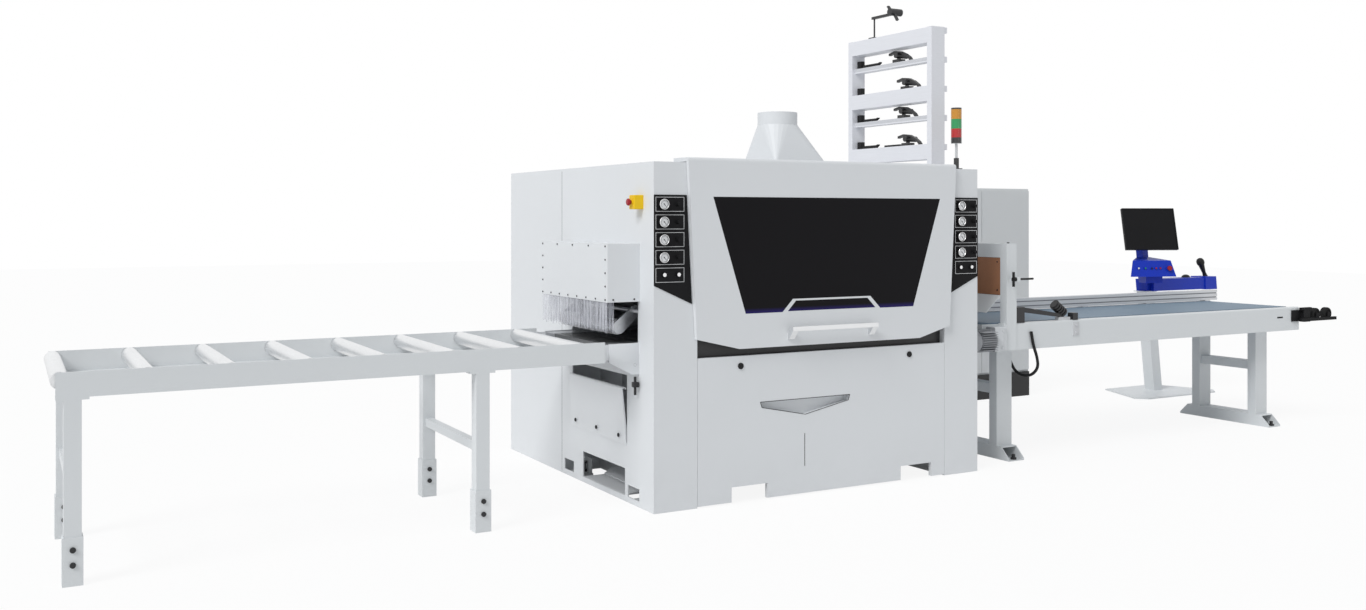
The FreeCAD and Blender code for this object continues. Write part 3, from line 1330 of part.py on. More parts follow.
def laser_rack():
    x0 = RACK_X0
    x1 = x0 + RACK_X
    y0 = FRONT + RACK_FRONT
    y1 = y0 + RACK_W
    solids = [
        box(x0, x1, y0, y0 + RACK_Y, CABINET_H, RACK_TOP),
        box(x0, x1, y1 - RACK_Y, y1, CABINET_H, RACK_TOP)]
    for i in range(LASER_COUNT):
        top = RACK_LOW + i * LASER_PITCH
        if i % 2 == 0:
            solids.append(box(x0, x1, y0 + RACK_Y, y1 - RACK_Y, top - RACK_BEAM_H, top))
        else:
            solids.append(box(x0 + 25, x1 - 25, y0 + RACK_Y, y1 - RACK_Y, top - RAIL_FLAT, top))
        solids.append(box(x1, x1 + 26, y0 + 4, y0 + 34, top - 40, top))
    return solids


def laser_places():
    # Each carriage stands at its own setting across the feed.
    y = FRONT + RACK_FRONT
    return (y + 318, y + 363, y + 328, y + 418, y + 698)


CHAIN_T = 16.0
CHAIN_W = 24.0
CHAIN_RISE = 86.0


def laser_carriage(y, top):
    # A block on the rail, an upright with the laser's tube, and the arched end of its drag chain.
    x = RACK_X0 + RACK_X / 2
    block = box(x - 30, x + 30, y - 35, y + 35, top + SOFT_GAP, top + 22)
    upright = box(x - 8, x + 8, y - 12, y + 12, top + 22, top + CHAIN_RISE - 10)
    tube = rod_x(x - 34, x + 70, y - 4, top + 50, 20)
    half = CHAIN_W / 2
    high = top + CHAIN_RISE
    spine = [(y + 100, high - 12), (y + 40, high), (y - 30, high - 8), (y - 90, high - 34), (y - 128, high - 58)]
    under = [(py, pz - CHAIN_T) for py, pz in reversed(spine)]
    arch = prism_x(spine + under, x - half, x + half)
    leg = prism_x([(y - 128, high - 58), (y - 112, high - 66), (y - 128, top + 4), (y - 148, top + 4)],
                  x - half, x + half)
    return fuse([block, upright, tube, arch, leg])


def top_carriage(y, top):
    # The uppermost one stands on a slim post and reaches forward with a level arm.
    x = RACK_X0 + RACK_X / 2
    z = top + 158
    block = box(x - 30, x + 30, y - 30, y + 30, top + SOFT_GAP, top + 14)
    post = rod_z(x, y, top + 14, z, 6)
    arm = box(x - 10, x + 10, y - 190, y + 22, z - 9, z + 9)
    tube = rod_x(x - 34, x + 70, y - 215, z + 12, 26)
    blade_up = prism_x([(y - 150, z + 60), (y - 166, z + 66), (y - 232, z - 4), (y - 216, z - 10)], x - 8, x + 8)
    blade_down = prism_x([(y - 216, z + 4), (y - 232, z + 10), (y - 272, z - 50), (y - 256, z - 56)], x - 8, x + 8)
    return fuse([block, post, arm, tube, blade_up, blade_down])


TOWER_Y = FRONT + 110.0
TOWER_X = RIGHT - 84.0
TOWER_FOOT = CABINET_H
TOWER_HEAD = CABINET_H + 175.0


def tower_light():
    # Foot, pole, base, three lenses and cap, from the bottom up.
    solids = []
    foot = fuse([
        box(TOWER_X - 25, TOWER_X + 35, TOWER_Y - 20, TOWER_Y + 20, TOWER_FOOT, TOWER_FOOT + 10),
        box(TOWER_X - 12, TOWER_X + 12, TOWER_Y - 12, TOWER_Y + 12, TOWER_FOOT + 10, TOWER_FOOT + 78)])
    solids.append(foot)
    solids.append(rod_z(TOWER_X, TOWER_Y, TOWER_FOOT + 78, TOWER_HEAD, 9))
    heights = (38.0, 60.0, 64.0, 64.0, 12.0)
    z = TOWER_HEAD
    for h in heights:
        solids.append(rod_z(TOWER_X, TOWER_Y, z, z + h, TOWER_R))
        z += h
    return solids


# Operator console

NECK_X = 5058.0
NECK_Y = 1205.0
NECK_TOP = 1450.0
POST_FOOT_X = 5321.0
POST_FOOT_Y = 1280.0
POST_HALF = 56.0
NECK_HALF = 38.0
STAND_PLATE = 12.0
BASE_BOLT_X = 580.0
BASE_BOLT_Y = 500.0
BASE_FRONT = 380.0
BASE_BACK = 250.0
BASE_HALF = 550.0
BASE_NARROW = 330.0
BASE_CORNER = 90.0
NECK_R = 22.0
SHELF_X1 = 6046.0
SHELF_Y0 = 1130.0
SHELF_H = 114.0
SHELF_D = 160.0
DESK_LOW = 1125.0
DESK_FRONT = 221.0
DESK_LEAN = 36.0
DESK_H = 150.0
BUTTON_UP = 80.0
STOP_X = 166.0
STICK_X = 5982.0
STICK_Y = 1208.0
STICK_R = 24.0
STICK_LEAN = 27.0


def post_at(z):
    # The middle of the leaning post at a height.
    share = (z - STAND_PLATE) / (NECK_TOP - STAND_PLATE)
    return vec(
        POST_FOOT_X + (NECK_X - POST_FOOT_X) * share, POST_FOOT_Y + (NECK_Y - POST_FOOT_Y) * share, z)


def post_between(z0, z1, half):
    wires = []
    for z in (z0, z1):
        middle = post_at(z)
        corners = [
            middle + vec(sx * half, sy * half, 0) for sx, sy in ((-1, -1), (1, -1), (1, 1), (-1, 1))]
        wires.append(Part.makePolygon(corners + corners[:1]))
    return Part.makeLoft(wires, True, True)


def turned(shape):
    # From the desk's own frame, with its origin at the neck and its front to -Y, to the row's frame.
    shape.rotate(vec(0, 0, 0), vec(0, 0, 1), -CONSOLE_TURN)
    shape.translate(vec(NECK_X, NECK_Y, 0))
    return shape


def console_stand():
    x = POST_FOOT_X - 55
    y = POST_FOOT_Y
    y0 = y - BASE_FRONT
    y1 = y + BASE_BACK
    plate = prism_z([
        (x - BASE_HALF, y0 + BASE_CORNER), (x - BASE_HALF + BASE_CORNER, y0), (x + BASE_HALF - BASE_CORNER, y0),
        (x + BASE_HALF, y0 + BASE_CORNER), (x + BASE_NARROW, y1), (x - BASE_NARROW, y1)],
        0, STAND_PLATE)
    holes = [
        rod_z(x + sx * BASE_BOLT_X / 2, y - 65 + sy * BASE_BOLT_Y / 2, -1, STAND_PLATE + 1, 9)
        for sx in (-1, 1) for sy in (-1, 1)]
    post = post_between(STAND_PLATE, CONSOLE_Z - 8, POST_HALF)
    top = post_at(CONSOLE_Z)
    head = box(top.x - 80, top.x + 80, top.y - 70, top.y + 70, CONSOLE_Z - 8, CONSOLE_Z)
    return [fuse([cut(plate, holes), post, head])]


def desk():
    z0 = DESK_LOW
    z1 = DESK_LOW + DESK_H
    front = [vec(-219, -DESK_FRONT, z0), vec(235, -DESK_FRONT, z0),
             vec(198, -DESK_FRONT + DESK_LEAN, z1), vec(-181, -DESK_FRONT + DESK_LEAN, z1)]
    back = [vec(-120, -40, z0), vec(120, -40, z0), vec(66, -40, z1 + 28), vec(-66, -40, z1 + 28)]
    return Part.makeLoft([Part.makePolygon(w + w[:1]) for w in (front, back)], True, True)


def button_face():
    return -DESK_FRONT + DESK_LEAN * BUTTON_UP / DESK_H


def console_housing():
    # The leaning neck, the desk before it, and the long shelf with the joystick's box at its end.
    z0 = CONSOLE_Z
    z1 = z0 + SHELF_H
    z_button = DESK_LOW + BUTTON_UP
    neck = fuse([post_between(z0, z1, POST_HALF), post_between(z1, NECK_TOP, NECK_HALF)])
    x_shelf = post_at(z0).x
    shelf = box(x_shelf, SHELF_X1 - 60, SHELF_Y0, SHELF_Y0 + SHELF_D, z0, z1)
    stick_box = prism_y(
        [(SHELF_X1 - 169, z0 - 4), (SHELF_X1, z0 - 4), (SHELF_X1 - 14, z1 + 8), (SHELF_X1 - 169, z1 + 8)],
        SHELF_Y0 - 10, SHELF_Y0 + SHELF_D + 4)
    tray_foot = turned(box(-35, 130, -160, -20, z1 - 30, DESK_LOW + 2))
    solid_desk = turned(desk())
    neck_bore = rod_z(NECK_X, NECK_Y, NECK_TOP - 60, NECK_TOP + 1, NECK_R + RUN)
    stop_bore = turned(rod_y(STOP_X, button_face() - 20, button_face() + 40, z_button, ESTOP_STEM_R + RUN))
    socket = Part.makeSphere(STICK_R + RUN, vec(STICK_X, STICK_Y, stick_z()))
    body = fuse([neck, shelf, stick_box, tray_foot, solid_desk])
    solids = [cut(body, [neck_bore, stop_bore, socket])]
    for x in (-135, -68, -4, 38, 80):
        y = button_face()
        solids.append(turned(rod_y(x, y - 12, y + 3, z_button, 10)))
    mouse = Part.makeSphere(52, vec(0, 0, 0))
    squash = FreeCAD.Matrix()
    squash.scale(1.0, 0.6, 0.55)
    mouse = mouse.transformGeometry(squash).cut(box(-60, 60, -60, 60, -60, 0))
    mouse.translate(vec(5722, SHELF_Y0 + 100, z1))
    solids.append(mouse)
    return solids


def stick_z():
    # The ball of the joystick sits in its box with its upper half free.
    return CONSOLE_Z + SHELF_H + 8


def console_stop():
    y = button_face()
    z = DESK_LOW + BUTTON_UP
    head = rod_y(STOP_X, y - 32, y - 16, z, 22)
    stem = rod_y(STOP_X, y - 17, y + 24, z, ESTOP_STEM_R)
    return turned(fuse([head, stem]))


def monitor():
    # The screen on its swivel arm, tilted back.
    pin = rod_z(0, 0, NECK_TOP - 58, NECK_TOP + 92, NECK_R)
    ring = rod_z(0, 0, NECK_TOP + SOFT_GAP, NECK_TOP + 12, NECK_R + 18)
    arm = box(-20, 20, -130, 0, NECK_TOP + 40, NECK_TOP + 92)
    screen = box(-MONITOR_W / 2, MONITOR_W / 2, -18, 18, -MONITOR_H / 2, MONITOR_H / 2)
    screen = screen.makeFillet(6, screen.Edges)
    glass = box(-MONITOR_W / 2 + 16, MONITOR_W / 2 - 16, -19, -15, -MONITOR_H / 2 + 24, MONITOR_H / 2 - 16)
    back = box(-120, 120, 17, 42, -100, 90)
    panel = fuse([screen.cut(glass), back])
    panel.rotate(vec(0, 0, 0), vec(1, 0, 0), -MONITOR_TILT)
    panel.translate(vec(0, -158, NECK_TOP + 120))
    return turned(fuse([pin, ring, arm, panel]))


def joystick():
    z = stick_z()
    steps = 8
    turn = [math.pi * i / steps for i in range(steps + 1)]
    ball = turned_form([(STICK_R * math.sin(a), -STICK_R * math.cos(a)) for a in turn])
    stem = turned_form([
        (0, 5), (12, 8), (20, 22), (16, 40), (18, 46), (22, 80), (27, 118), (30, 128), (36, 140), (38, 156),
        (35, 174), (26, 189), (13, 196), (0, 197)])
    stick = fuse([ball, stem])
    stick.rotate(vec(0, 0, 0), vec(0, 1, 0), -STICK_LEAN)
    stick.translate(vec(STICK_X, STICK_Y, z))
    return stick


def main():
    os.makedirs("parts", exist_ok=True)
    save("lower_casing", lower_casing())
    save("outfeed_wall", [outfeed_wall()])
    save("infeed_wall", [side_wall(BAY_X1, RIGHT)])
    save("rear_casing", [rear_casing()])
    save("top_cover", [top_cover()])
    save("dust_hood", [dust_hood()])
    save("upper_door", [upper_door()])
    save("door_window", door_window())
    save("door_handle", [door_handle()])
    save("lower_panel", [lower_panel()])
    for name, x in zip(("left", "right"), latch_places()):
        save("panel_latch_%s" % name, [panel_latch(x)])
    save("gauge_panels", gauge_panels())
    save("estop_box", [estop_box()])
    save("estop_button", [mushroom_x(LEFT - ESTOP_OUT, ESTOP_Y, ESTOP_Z)])
    save("outfeed_hood", [outfeed_hood()])
    save("curtain_strips", curtain_strips())
    save("feed_bed", feed_bed())
    save("outfeed_plates", outfeed_plates())
    save("roller_arm", [roller_arm()])
    save("outfeed_roller", [outfeed_roller()])
    save("saw_frame", saw_frame())
    save("saw_arbor", [saw_arbor()])
    save("pressure_roller", [pressure_roller()])
    save("roller_table_rails", roller_table_rails())
    for number, x in enumerate(roller_places(), 1):
        save("table_roller_%d" % number, [table_roller(x)])
    save("roller_table_legs", roller_table_legs())
    save("infeed_frame", infeed_rails() + trestles())
    save("infeed_belt", [infeed_belt()])
    save("levelling_bolts", levelling_bolts())
    save("fence_beam", fence_beam())
    save("infeed_gantry", infeed_gantry())
    save("splinter_board", [splinter_board()])
    save("clamp_handle", [clamp_handle()])
    save("side_guide", side_guide())
    save("gear_motor", [gear_motor()])
    save("cable_conduits", cable_conduits())
    save("end_wheel_arm", [end_wheel_arm()])
    for number, x in enumerate(wheel_places(), 1):
        save("end_wheel_%d" % number, [end_wheel(x)])
    save("electrical_cabinet", electrical_cabinet())
    save("laser_rack", laser_rack())
    for number, y in enumerate(laser_places(), 1):
        form = top_carriage if number == LASER_COUNT else laser_carriage
        save("laser_carriage_%d" % number, [form(y, RACK_LOW + (number - 1) * LASER_PITCH)])
    save("tower_light", tower_light())
    save("console_stand", console_stand())
    save("console_housing", console_housing())
    save("console_stop", [console_stop()])
    save("monitor", [monitor()])
    save("joystick", [joystick()])


main()
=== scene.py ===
import math

import bpy
import bmesh
from mathutils import Matrix, Vector


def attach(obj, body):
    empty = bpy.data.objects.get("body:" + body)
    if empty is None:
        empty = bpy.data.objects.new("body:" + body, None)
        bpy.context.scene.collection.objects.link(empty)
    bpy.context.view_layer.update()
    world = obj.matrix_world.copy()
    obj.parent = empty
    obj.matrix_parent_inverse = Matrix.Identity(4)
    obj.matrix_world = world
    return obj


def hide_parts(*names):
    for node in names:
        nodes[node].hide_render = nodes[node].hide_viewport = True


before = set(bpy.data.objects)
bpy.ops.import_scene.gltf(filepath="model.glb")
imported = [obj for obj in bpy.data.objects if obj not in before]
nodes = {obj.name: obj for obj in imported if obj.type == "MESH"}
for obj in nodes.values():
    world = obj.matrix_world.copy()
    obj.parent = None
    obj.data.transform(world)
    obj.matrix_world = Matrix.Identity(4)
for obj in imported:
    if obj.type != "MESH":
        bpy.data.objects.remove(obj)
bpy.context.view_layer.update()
bpy.ops.object.select_all(action="DESELECT")
print("frame loaded:", len(nodes), "nodes")


# The camera stands level at eye height, off the outfeed end, and looks along the row.
camera = {"place": (-4.412, -6.815, 1.6825), "turn": -29.08, "focal": 32.02, "sensor": 36.0,
          "rise": -87.7 / 1366, "reach": 100}

bpy.ops.object.camera_add(location=camera["place"],
                          rotation=(math.radians(90), 0, math.radians(camera["turn"])))
eye = bpy.context.object
eye.data.lens = camera["focal"]
eye.data.sensor_width = camera["sensor"]
eye.data.sensor_fit = "HORIZONTAL"
eye.data.shift_y = camera["rise"]
eye.data.clip_end = camera["reach"]
bpy.context.scene.camera = eye
bpy.context.scene.view_settings.view_transform = "Standard"
print("camera placed")


# Shader maths: a value is a socket that takes part in Python expressions.

class Value:
    def __init__(self, net, socket):
        self.net = net
        self.socket = socket

    def maths(self, operation, *others):
        made = self.net.node("ShaderNodeMath", {"operation": operation}, dict(enumerate((self,) + others)))
        return Value(self.net, made.outputs[0])

    def after(self, operation, first):
        made = self.net.node("ShaderNodeMath", {"operation": operation}, {0: first, 1: self})
        return Value(self.net, made.outputs[0])

    def __add__(self, other):
        return self.maths("ADD", other)

    __radd__ = __add__

    def __sub__(self, other):
        return self.maths("SUBTRACT", other)

    def __rsub__(self, other):
        return self.after("SUBTRACT", other)

    def __mul__(self, other):
        return self.maths("MULTIPLY", other)

    __rmul__ = __mul__

    def __truediv__(self, other):
        return self.maths("DIVIDE", other)

    def __gt__(self, other):
        return self.maths("GREATER_THAN", other)

    def __lt__(self, other):
        return self.maths("LESS_THAN", other)


class Net:
    def __init__(self, name):
        self.material = bpy.data.materials.new(name)
        self.material.use_nodes = True
        self.tree = self.material.node_tree
        self.shader = self.tree.nodes["Principled BSDF"]
        where = self.node("ShaderNodeTexCoord", {}, {})
        self.place = Value(self, where.outputs["Object"])
        split = self.node("ShaderNodeSeparateXYZ", {}, {0: self.place})
        self.x, self.y, self.z = [Value(self, socket) for socket in split.outputs]

    def feed(self, socket, item):
        if isinstance(item, Value):
            self.tree.links.new(item.socket, socket)
        else:
            socket.default_value = item

    def node(self, kind, settings, sockets):
        made = self.tree.nodes.new(kind)
        for key, item in settings.items():
            if key == "stops":
                ramp = made.color_ramp
                while len(ramp.elements) < len(item):
                    ramp.elements.new(0.5)
                for element, (position, colour) in zip(ramp.elements, item):
                    element.position = position
                    element.color = (*colour, 1)
            elif key == "steps":
                made.color_ramp.interpolation = item
            else:
                setattr(made, key, item)
        for key, item in sockets.items():
            self.feed(made.inputs[key], item)
        return made

    def noise(self, scale, detail=2.0, stretch=(1, 1, 1)):
        spread = self.node("ShaderNodeVectorMath", {"operation": "MULTIPLY"}, {0: self.place, 1: stretch})
        made = self.node("ShaderNodeTexNoise", {}, {
            "Vector": Value(self, spread.outputs[0]), "Scale": scale, "Detail": detail})
        return Value(self, made.outputs[0])

    def mix(self, first, second, share):
        made = self.node("ShaderNodeMix", {"data_type": "RGBA"}, {0: share, 6: tint(first), 7: tint(second)})
        return Value(self, made.outputs[2])

    def shade(self, colour, amount):
        made = self.node("ShaderNodeMix", {"data_type": "RGBA", "blend_type": "MULTIPLY"}, {
            0: 1.0, 6: tint(colour), 7: self.grey(amount)})
        return Value(self, made.outputs[2])

    def grey(self, amount):
        made = self.node("ShaderNodeCombineColor", {}, {0: amount, 1: amount, 2: amount})
        return Value(self, made.outputs[0])

    def between(self, item, low, high):
        return (item > low) * (item < high)

    def bump(self, height, distance, strength=1.0):
        made = self.node("ShaderNodeBump", {}, {"Height": height, "Distance": distance, "Strength": strength})
        self.feed(self.shader.inputs["Normal"], Value(self, made.outputs[0]))

    def finish(self, colour, roughness, metallic=0.0, coat=0.0, gloss=0.5):
        self.shader.inputs["Specular IOR Level"].default_value = gloss
        self.feed(self.shader.inputs["Base Color"], tint(colour))
        self.feed(self.shader.inputs["Roughness"], roughness)
        self.feed(self.shader.inputs["Metallic"], metallic)
        self.feed(self.shader.inputs["Coat Weight"], coat)
        return self.material


def tint(colour):
    return (*colour, 1) if isinstance(colour, tuple) and len(colour) == 3 else colour


def powderCoat(name, colour, roughness=0.42, drift=0.05, lowDarkness=0.10, gloss=0.4):
    # Powder coat: a fine orange peel, faint random clouds of tone, and a patchy darkening towards the floor.
    net = Net(name)
    cloud = net.noise(1.1, 3.0)
    # Darker in patches towards the floor, fading out by 0.35 m above it.
    low = (0.35 - net.z) * 2.2
    lowDarkening = net.node("ShaderNodeClamp", {}, {"Value": low * net.noise(9.0, 4.0)})
    shade = 1.0 - drift / 2 + cloud * drift - Value(net, lowDarkening.outputs[0]) * lowDarkness
    net.bump(net.noise(420.0, 1.0), 0.0006, 0.5)
    return net.finish(net.shade(colour, shade), roughness + net.noise(24.0, 2.0) * 0.10, gloss=gloss)


def plastic(name, colour, roughness, grain=600.0, coat=0.0, gloss=0.22):
    net = Net(name)
    wear = net.noise(14.0, 4.0)
    net.bump(net.noise(grain, 2.0), 0.0004, 0.6)
    return net.finish(net.shade(colour, 0.92 + wear * 0.16), roughness + wear * 0.12, coat=coat, gloss=gloss)


def rolledMetal(name, colour, roughness, stretch, scale=60.0, drift=0.16):
    # Brushed or drawn metal: long scratches along one axis.
    net = Net(name)
    lines = net.noise(scale, 4.0, stretch)
    patch = net.noise(3.0, 2.0)
    net.bump(lines, 0.0004, 0.5)
    return net.finish(net.shade(colour, 1.0 - drift / 2 + lines * drift + (patch - 0.5) * 0.08),
                      roughness + lines * 0.14, metallic=1.0)


finishes = {
    "body": powderCoat("bodyPaint", (0.735, 0.755, 0.775)),
    "table": powderCoat("tablePaint", (0.71, 0.735, 0.75)),
    "darkPanel": powderCoat("darkPanelPaint", (0.010, 0.010, 0.011), roughness=0.55, gloss=0.12),
    "machineGrey": powderCoat("machineGreyPaint", (0.30, 0.32, 0.34)),
    "blackPlastic": plastic("blackPlastic", (0.012, 0.012, 0.013), 0.42),
    "blackRubber": plastic("blackRubber", (0.016, 0.016, 0.016), 0.72, grain=300.0, gloss=0.15),
    "yellowPlastic": plastic("yellowPlastic", (0.86, 0.56, 0.015), 0.40),
    "redPlastic": plastic("redPlastic", (0.34, 0.012, 0.02), 0.30, coat=0.2),
    "whitePlastic": plastic("whitePlastic", (0.78, 0.79, 0.80), 0.36, gloss=0.4),
    "greenPlastic": plastic("greenPlastic", (0.02, 0.26, 0.07), 0.34, gloss=0.4),
    "blackOxide": plastic("blackOxide", (0.020, 0.020, 0.022), 0.38, grain=900.0, gloss=0.4),
    "jointShade": plastic("jointShade", (0.16, 0.165, 0.175), 0.6),
    "fineSilver": rolledMetal("fineSilver", (0.86, 0.86, 0.87), 0.24, (1, 1, 1), scale=200.0, drift=0.06),
    "turnedSteel": rolledMetal("turnedSteel", (0.62, 0.63, 0.65), 0.26, (1, 18, 1)),
    "zinc": rolledMetal("zincPlate", (0.78, 0.79, 0.80), 0.36, (1, 1, 9), scale=30.0),
    "profile": rolledMetal("drawnProfile", (0.80, 0.81, 0.82), 0.32, (0.05, 14, 14), scale=24.0),
}


def beltFinish():
    # Blue-grey cover, streaked along its run.
    net = Net("beltCover")
    streak = net.noise(6.0, 4.0, (0.35, 9, 1))
    weave = net.noise(260.0, 2.0, (1, 1, 1))
    cloud = net.noise(0.9, 2.0, (1, 0.6, 1))
    colour = net.mix((0.075, 0.135, 0.205), (0.21, 0.285, 0.36), streak * 0.55 + cloud * 0.45)
    net.bump(weave, 0.0006, 0.6)
    return net.finish(colour, 0.42 + streak * 0.2, gloss=0.35)


def boardFinish():
    # Laminated board: cloth-like fibres under resin.
    net = Net("laminatedBoard")
    fibre = net.noise(180.0, 4.0, (1, 0.25, 3))
    cloud = net.noise(5.0, 3.0)
    edge = net.between(net.z, 1.150, 1.401)
    colour = net.mix((0.27, 0.115, 0.055), (0.47, 0.215, 0.11), fibre * 0.5 + cloud * 0.5)
    net.bump(fibre, 0.0005, 0.5)
    return net.finish(net.shade(colour, 0.6 + edge * 0.4), 0.5 + fibre * 0.15)


def windowFinish():
    # Tinted pane with a blue line of light along its lower edge.
    net = Net("tintedWindow")
    smear = net.noise(2.5, 3.0, (1, 1, 3))
    low = net.node("ShaderNodeClamp", {}, {"Value": (1.145 - net.z) * 40.0})
    colour = net.mix((0.0055, 0.005, 0.0065), (0.020, 0.014, 0.110), Value(net, low.outputs[0]))
    return net.finish(colour, 0.06 + smear * 0.08, gloss=0.10)


def towerFinish():
    net = Net("towerLight")
    height = (net.z - 2.0) / 0.5
    ramp = net.node("ShaderNodeValToRGB", {"steps": "CONSTANT", "stops": [
        (0.0, (0.02, 0.02, 0.02)), (0.156, (0.60, 0.61, 0.62)), (0.350, (0.03, 0.03, 0.03)),
        (0.426, (0.50, 0.02, 0.02)), (0.546, (0.02, 0.32, 0.10)), (0.674, (0.62, 0.27, 0.02)),
        (0.802, (0.04, 0.04, 0.04))]}, {0: height})
    ribs = (net.z * 180.0).maths("FRACT")
    net.bump(ribs, 0.0012, 0.6)
    return net.finish(Value(net, ramp.outputs[0]), 0.22, coat=0.3)


def laserFinish():
    net = Net("laserHead")
    silver = net.node("ShaderNodeClamp", {}, {"Value": (net.x - 1.21) * 60.0})
    wear = net.noise(30.0, 3.0)
    colour = net.mix((0.022, 0.022, 0.024), (0.30, 0.31, 0.32), Value(net, silver.outputs[0]))
    return net.finish(net.shade(colour, 0.9 + wear * 0.2), 0.4)


def screenFinish():
    # One black for bezel and dead screen, with faint wear.
    net = Net("monitorShell")
    wear = net.noise(8.0, 2.0)
    return net.finish(net.shade((0.008, 0.008, 0.009), 0.9 + wear * 0.2), 0.26 + wear * 0.08, gloss=0.12)


def cabinetFinish():
    net = Net("electricalCabinet")
    cloud = net.noise(1.1, 3.0)
    plinth = net.z < 0.2275
    door = net.mix((0.70, 0.72, 0.73), (0.008, 0.008, 0.009), plinth)
    net.bump(net.noise(420.0, 1.0), 0.0006, 0.5)
    return net.finish(net.shade(door, 0.97 + cloud * 0.06), 0.45)


def bedFinish():
    # Ground cast bed with the darker steel slats of the feed chain in its lane, and a near-black front apron
    # that is painted shade for the shadowed opening under the deck.
    net = Net("feedBed")
    lines = net.noise(60.0, 4.0, (14, 1, 1))
    slats = net.between(net.y, -0.393, 0.265) * (net.z > 0.924)
    # Front apron: painted near-black and not metallic, as painted shade for the shadowed opening below the
    # deck.
    apronShade = net.y < -0.60
    metal = net.mix((0.50, 0.51, 0.53), (0.20, 0.205, 0.21), slats)
    net.bump(lines, 0.0004, 0.5)
    return net.finish(net.shade(net.mix(metal, (0.02, 0.02, 0.022), apronShade), 0.88 + lines * 0.24),
                      0.36 + lines * 0.1, metallic=1.0 - apronShade)


def rackFinish():
    # White painted frame with drawn aluminium rails at the second and fourth rows.
    net = Net("rackProfiles")
    lines = net.noise(24.0, 4.0, (1, 0.2, 8))
    rails = net.between(net.z, 2.36, 2.39) + net.between(net.z, 2.76, 2.79)
    colour = net.mix((0.78, 0.79, 0.83), (0.62, 0.63, 0.66), rails * net.between(net.y, -0.36, 0.48))
    return net.finish(net.shade(colour, 0.95 + lines * 0.10), 0.4 + lines * 0.1, gloss=0.3)


def curtainFinish():
    # Clear plastic fringe: fine upright streaks, open between, that thin out towards the ends.
    net = Net("clearFringe")
    streak = net.noise(1.0, 3.0, (190, 190, 1.5))
    lines = net.node("ShaderNodeValToRGB", {"stops": [(0.34, (0.04, 0.04, 0.04)), (0.66, (0.62, 0.62, 0.62))]},
                     {0: streak})
    shown = Value(net, lines.outputs[0])
    net.feed(net.shader.inputs["Alpha"], shown)
    return net.finish(net.mix((0.62, 0.64, 0.70), (0.86, 0.87, 0.93), streak), 0.3, gloss=0.4)


def guideFinish():
    net = Net("sideGuide")
    light = net.between(net.x, 2.075, 2.185) * (net.z < 0.978) + net.between(net.z, 0.84, 0.945)
    wear = net.noise(30.0, 3.0)
    colour = net.mix((0.018, 0.018, 0.020), (0.60, 0.61, 0.63), light)
    return net.finish(net.shade(colour, 0.9 + wear * 0.2), 0.45)


def motorFinish():
    net = Net("gearMotor")
    wear = net.noise(30.0, 3.0)
    box = net.x > 1.441
    colour = net.mix((0.34, 0.35, 0.37), (0.66, 0.68, 0.70), box)
    net.bump(net.noise(300.0, 2.0), 0.0008, 0.6)
    return net.finish(net.shade(colour, 0.85 + wear * 0.3), 0.5, gloss=0.3)


def fenceFinish():
    # Drawn profile with the shade that its two grooves hold.
    net = Net("fenceProfile")
    lines = net.noise(24.0, 4.0, (0.05, 14, 14))
    groove = net.between(net.z, 0.983, 0.991) + net.between(net.z, 1.019, 1.027)
    front = groove * (net.y < 0.209)
    colour = net.mix((0.66, 0.67, 0.69), (0.25, 0.26, 0.28), front)
    return net.finish(net.shade(colour, 0.93 + lines * 0.14), 0.34 + lines * 0.12, metallic=0.6, gloss=0.3)


def gantryFinish():
    # Table paint with the black stud on top of the post.
    net = Net("gantryPaint")
    cloud = net.noise(1.1, 3.0)
    stud = net.z > 1.5034
    net.bump(net.noise(420.0, 1.0), 0.0006, 0.5)
    colour = net.mix((0.71, 0.735, 0.75), (0.012, 0.012, 0.013), stud)
    return net.finish(net.shade(colour, 0.97 + cloud * 0.06), 0.45, gloss=0.3)


def housingFinish():
    # Blue console, with black for the mouse on the shelf.
    net = Net("consoleHousing")
    cloud = net.noise(3.0, 3.0)
    pad = net.between(net.x, 5.66, 5.79) * (net.z > 1.0925) * (net.y > 1.15)
    colour = net.mix((0.005, 0.033, 0.46), (0.012, 0.012, 0.014), pad)
    net.bump(net.noise(420.0, 1.0), 0.0006, 0.5)
    return net.finish(net.shade(colour, 0.92 + cloud * 0.16), 0.33 + cloud * 0.08, gloss=0.25)


dressing = {
    "lower_casing": "body", "outfeed_wall": "body", "infeed_wall": "body", "rear_casing": "body",
    "top_cover": "body", "dust_hood": "body", "upper_door": "body", "door_handle": "profile",
    "lower_panel": "body",
    "panel_latch_left": "blackPlastic", "panel_latch_right": "blackPlastic", "gauge_panels": "darkPanel",
    "estop_box": "yellowPlastic", "estop_button": "redPlastic", "outfeed_hood": "body",
    "outfeed_plates": "body", "roller_arm": "turnedSteel", "outfeed_roller": "turnedSteel",
    "saw_frame": "machineGrey",
    "saw_arbor": "turnedSteel", "pressure_roller": "turnedSteel", "roller_table_rails": "table",
    "roller_table_legs": "table", "infeed_frame": "table", "levelling_bolts": "blackOxide",
    "clamp_handle": "blackPlastic", "cable_conduits": "blackRubber",
    "end_wheel_arm": "darkPanel", "end_wheel_1": "blackRubber", "end_wheel_2": "blackRubber",
    "console_stand": "table", "console_stop": "redPlastic", "joystick": "blackPlastic",
}
for number in range(1, 9):
    dressing["table_roller_%d" % number] = "zinc"
special = {
    "door_window": windowFinish(), "feed_bed": bedFinish(), "infeed_belt": beltFinish(),
    "splinter_board": boardFinish(), "side_guide": guideFinish(), "gear_motor": motorFinish(),
    "electrical_cabinet": cabinetFinish(), "laser_rack": rackFinish(), "tower_light": towerFinish(),
    "console_housing": housingFinish(), "monitor": screenFinish(), "curtain_strips": curtainFinish(),
    "fence_beam": fenceFinish(), "infeed_gantry": gantryFinish(),
}
laser = laserFinish()
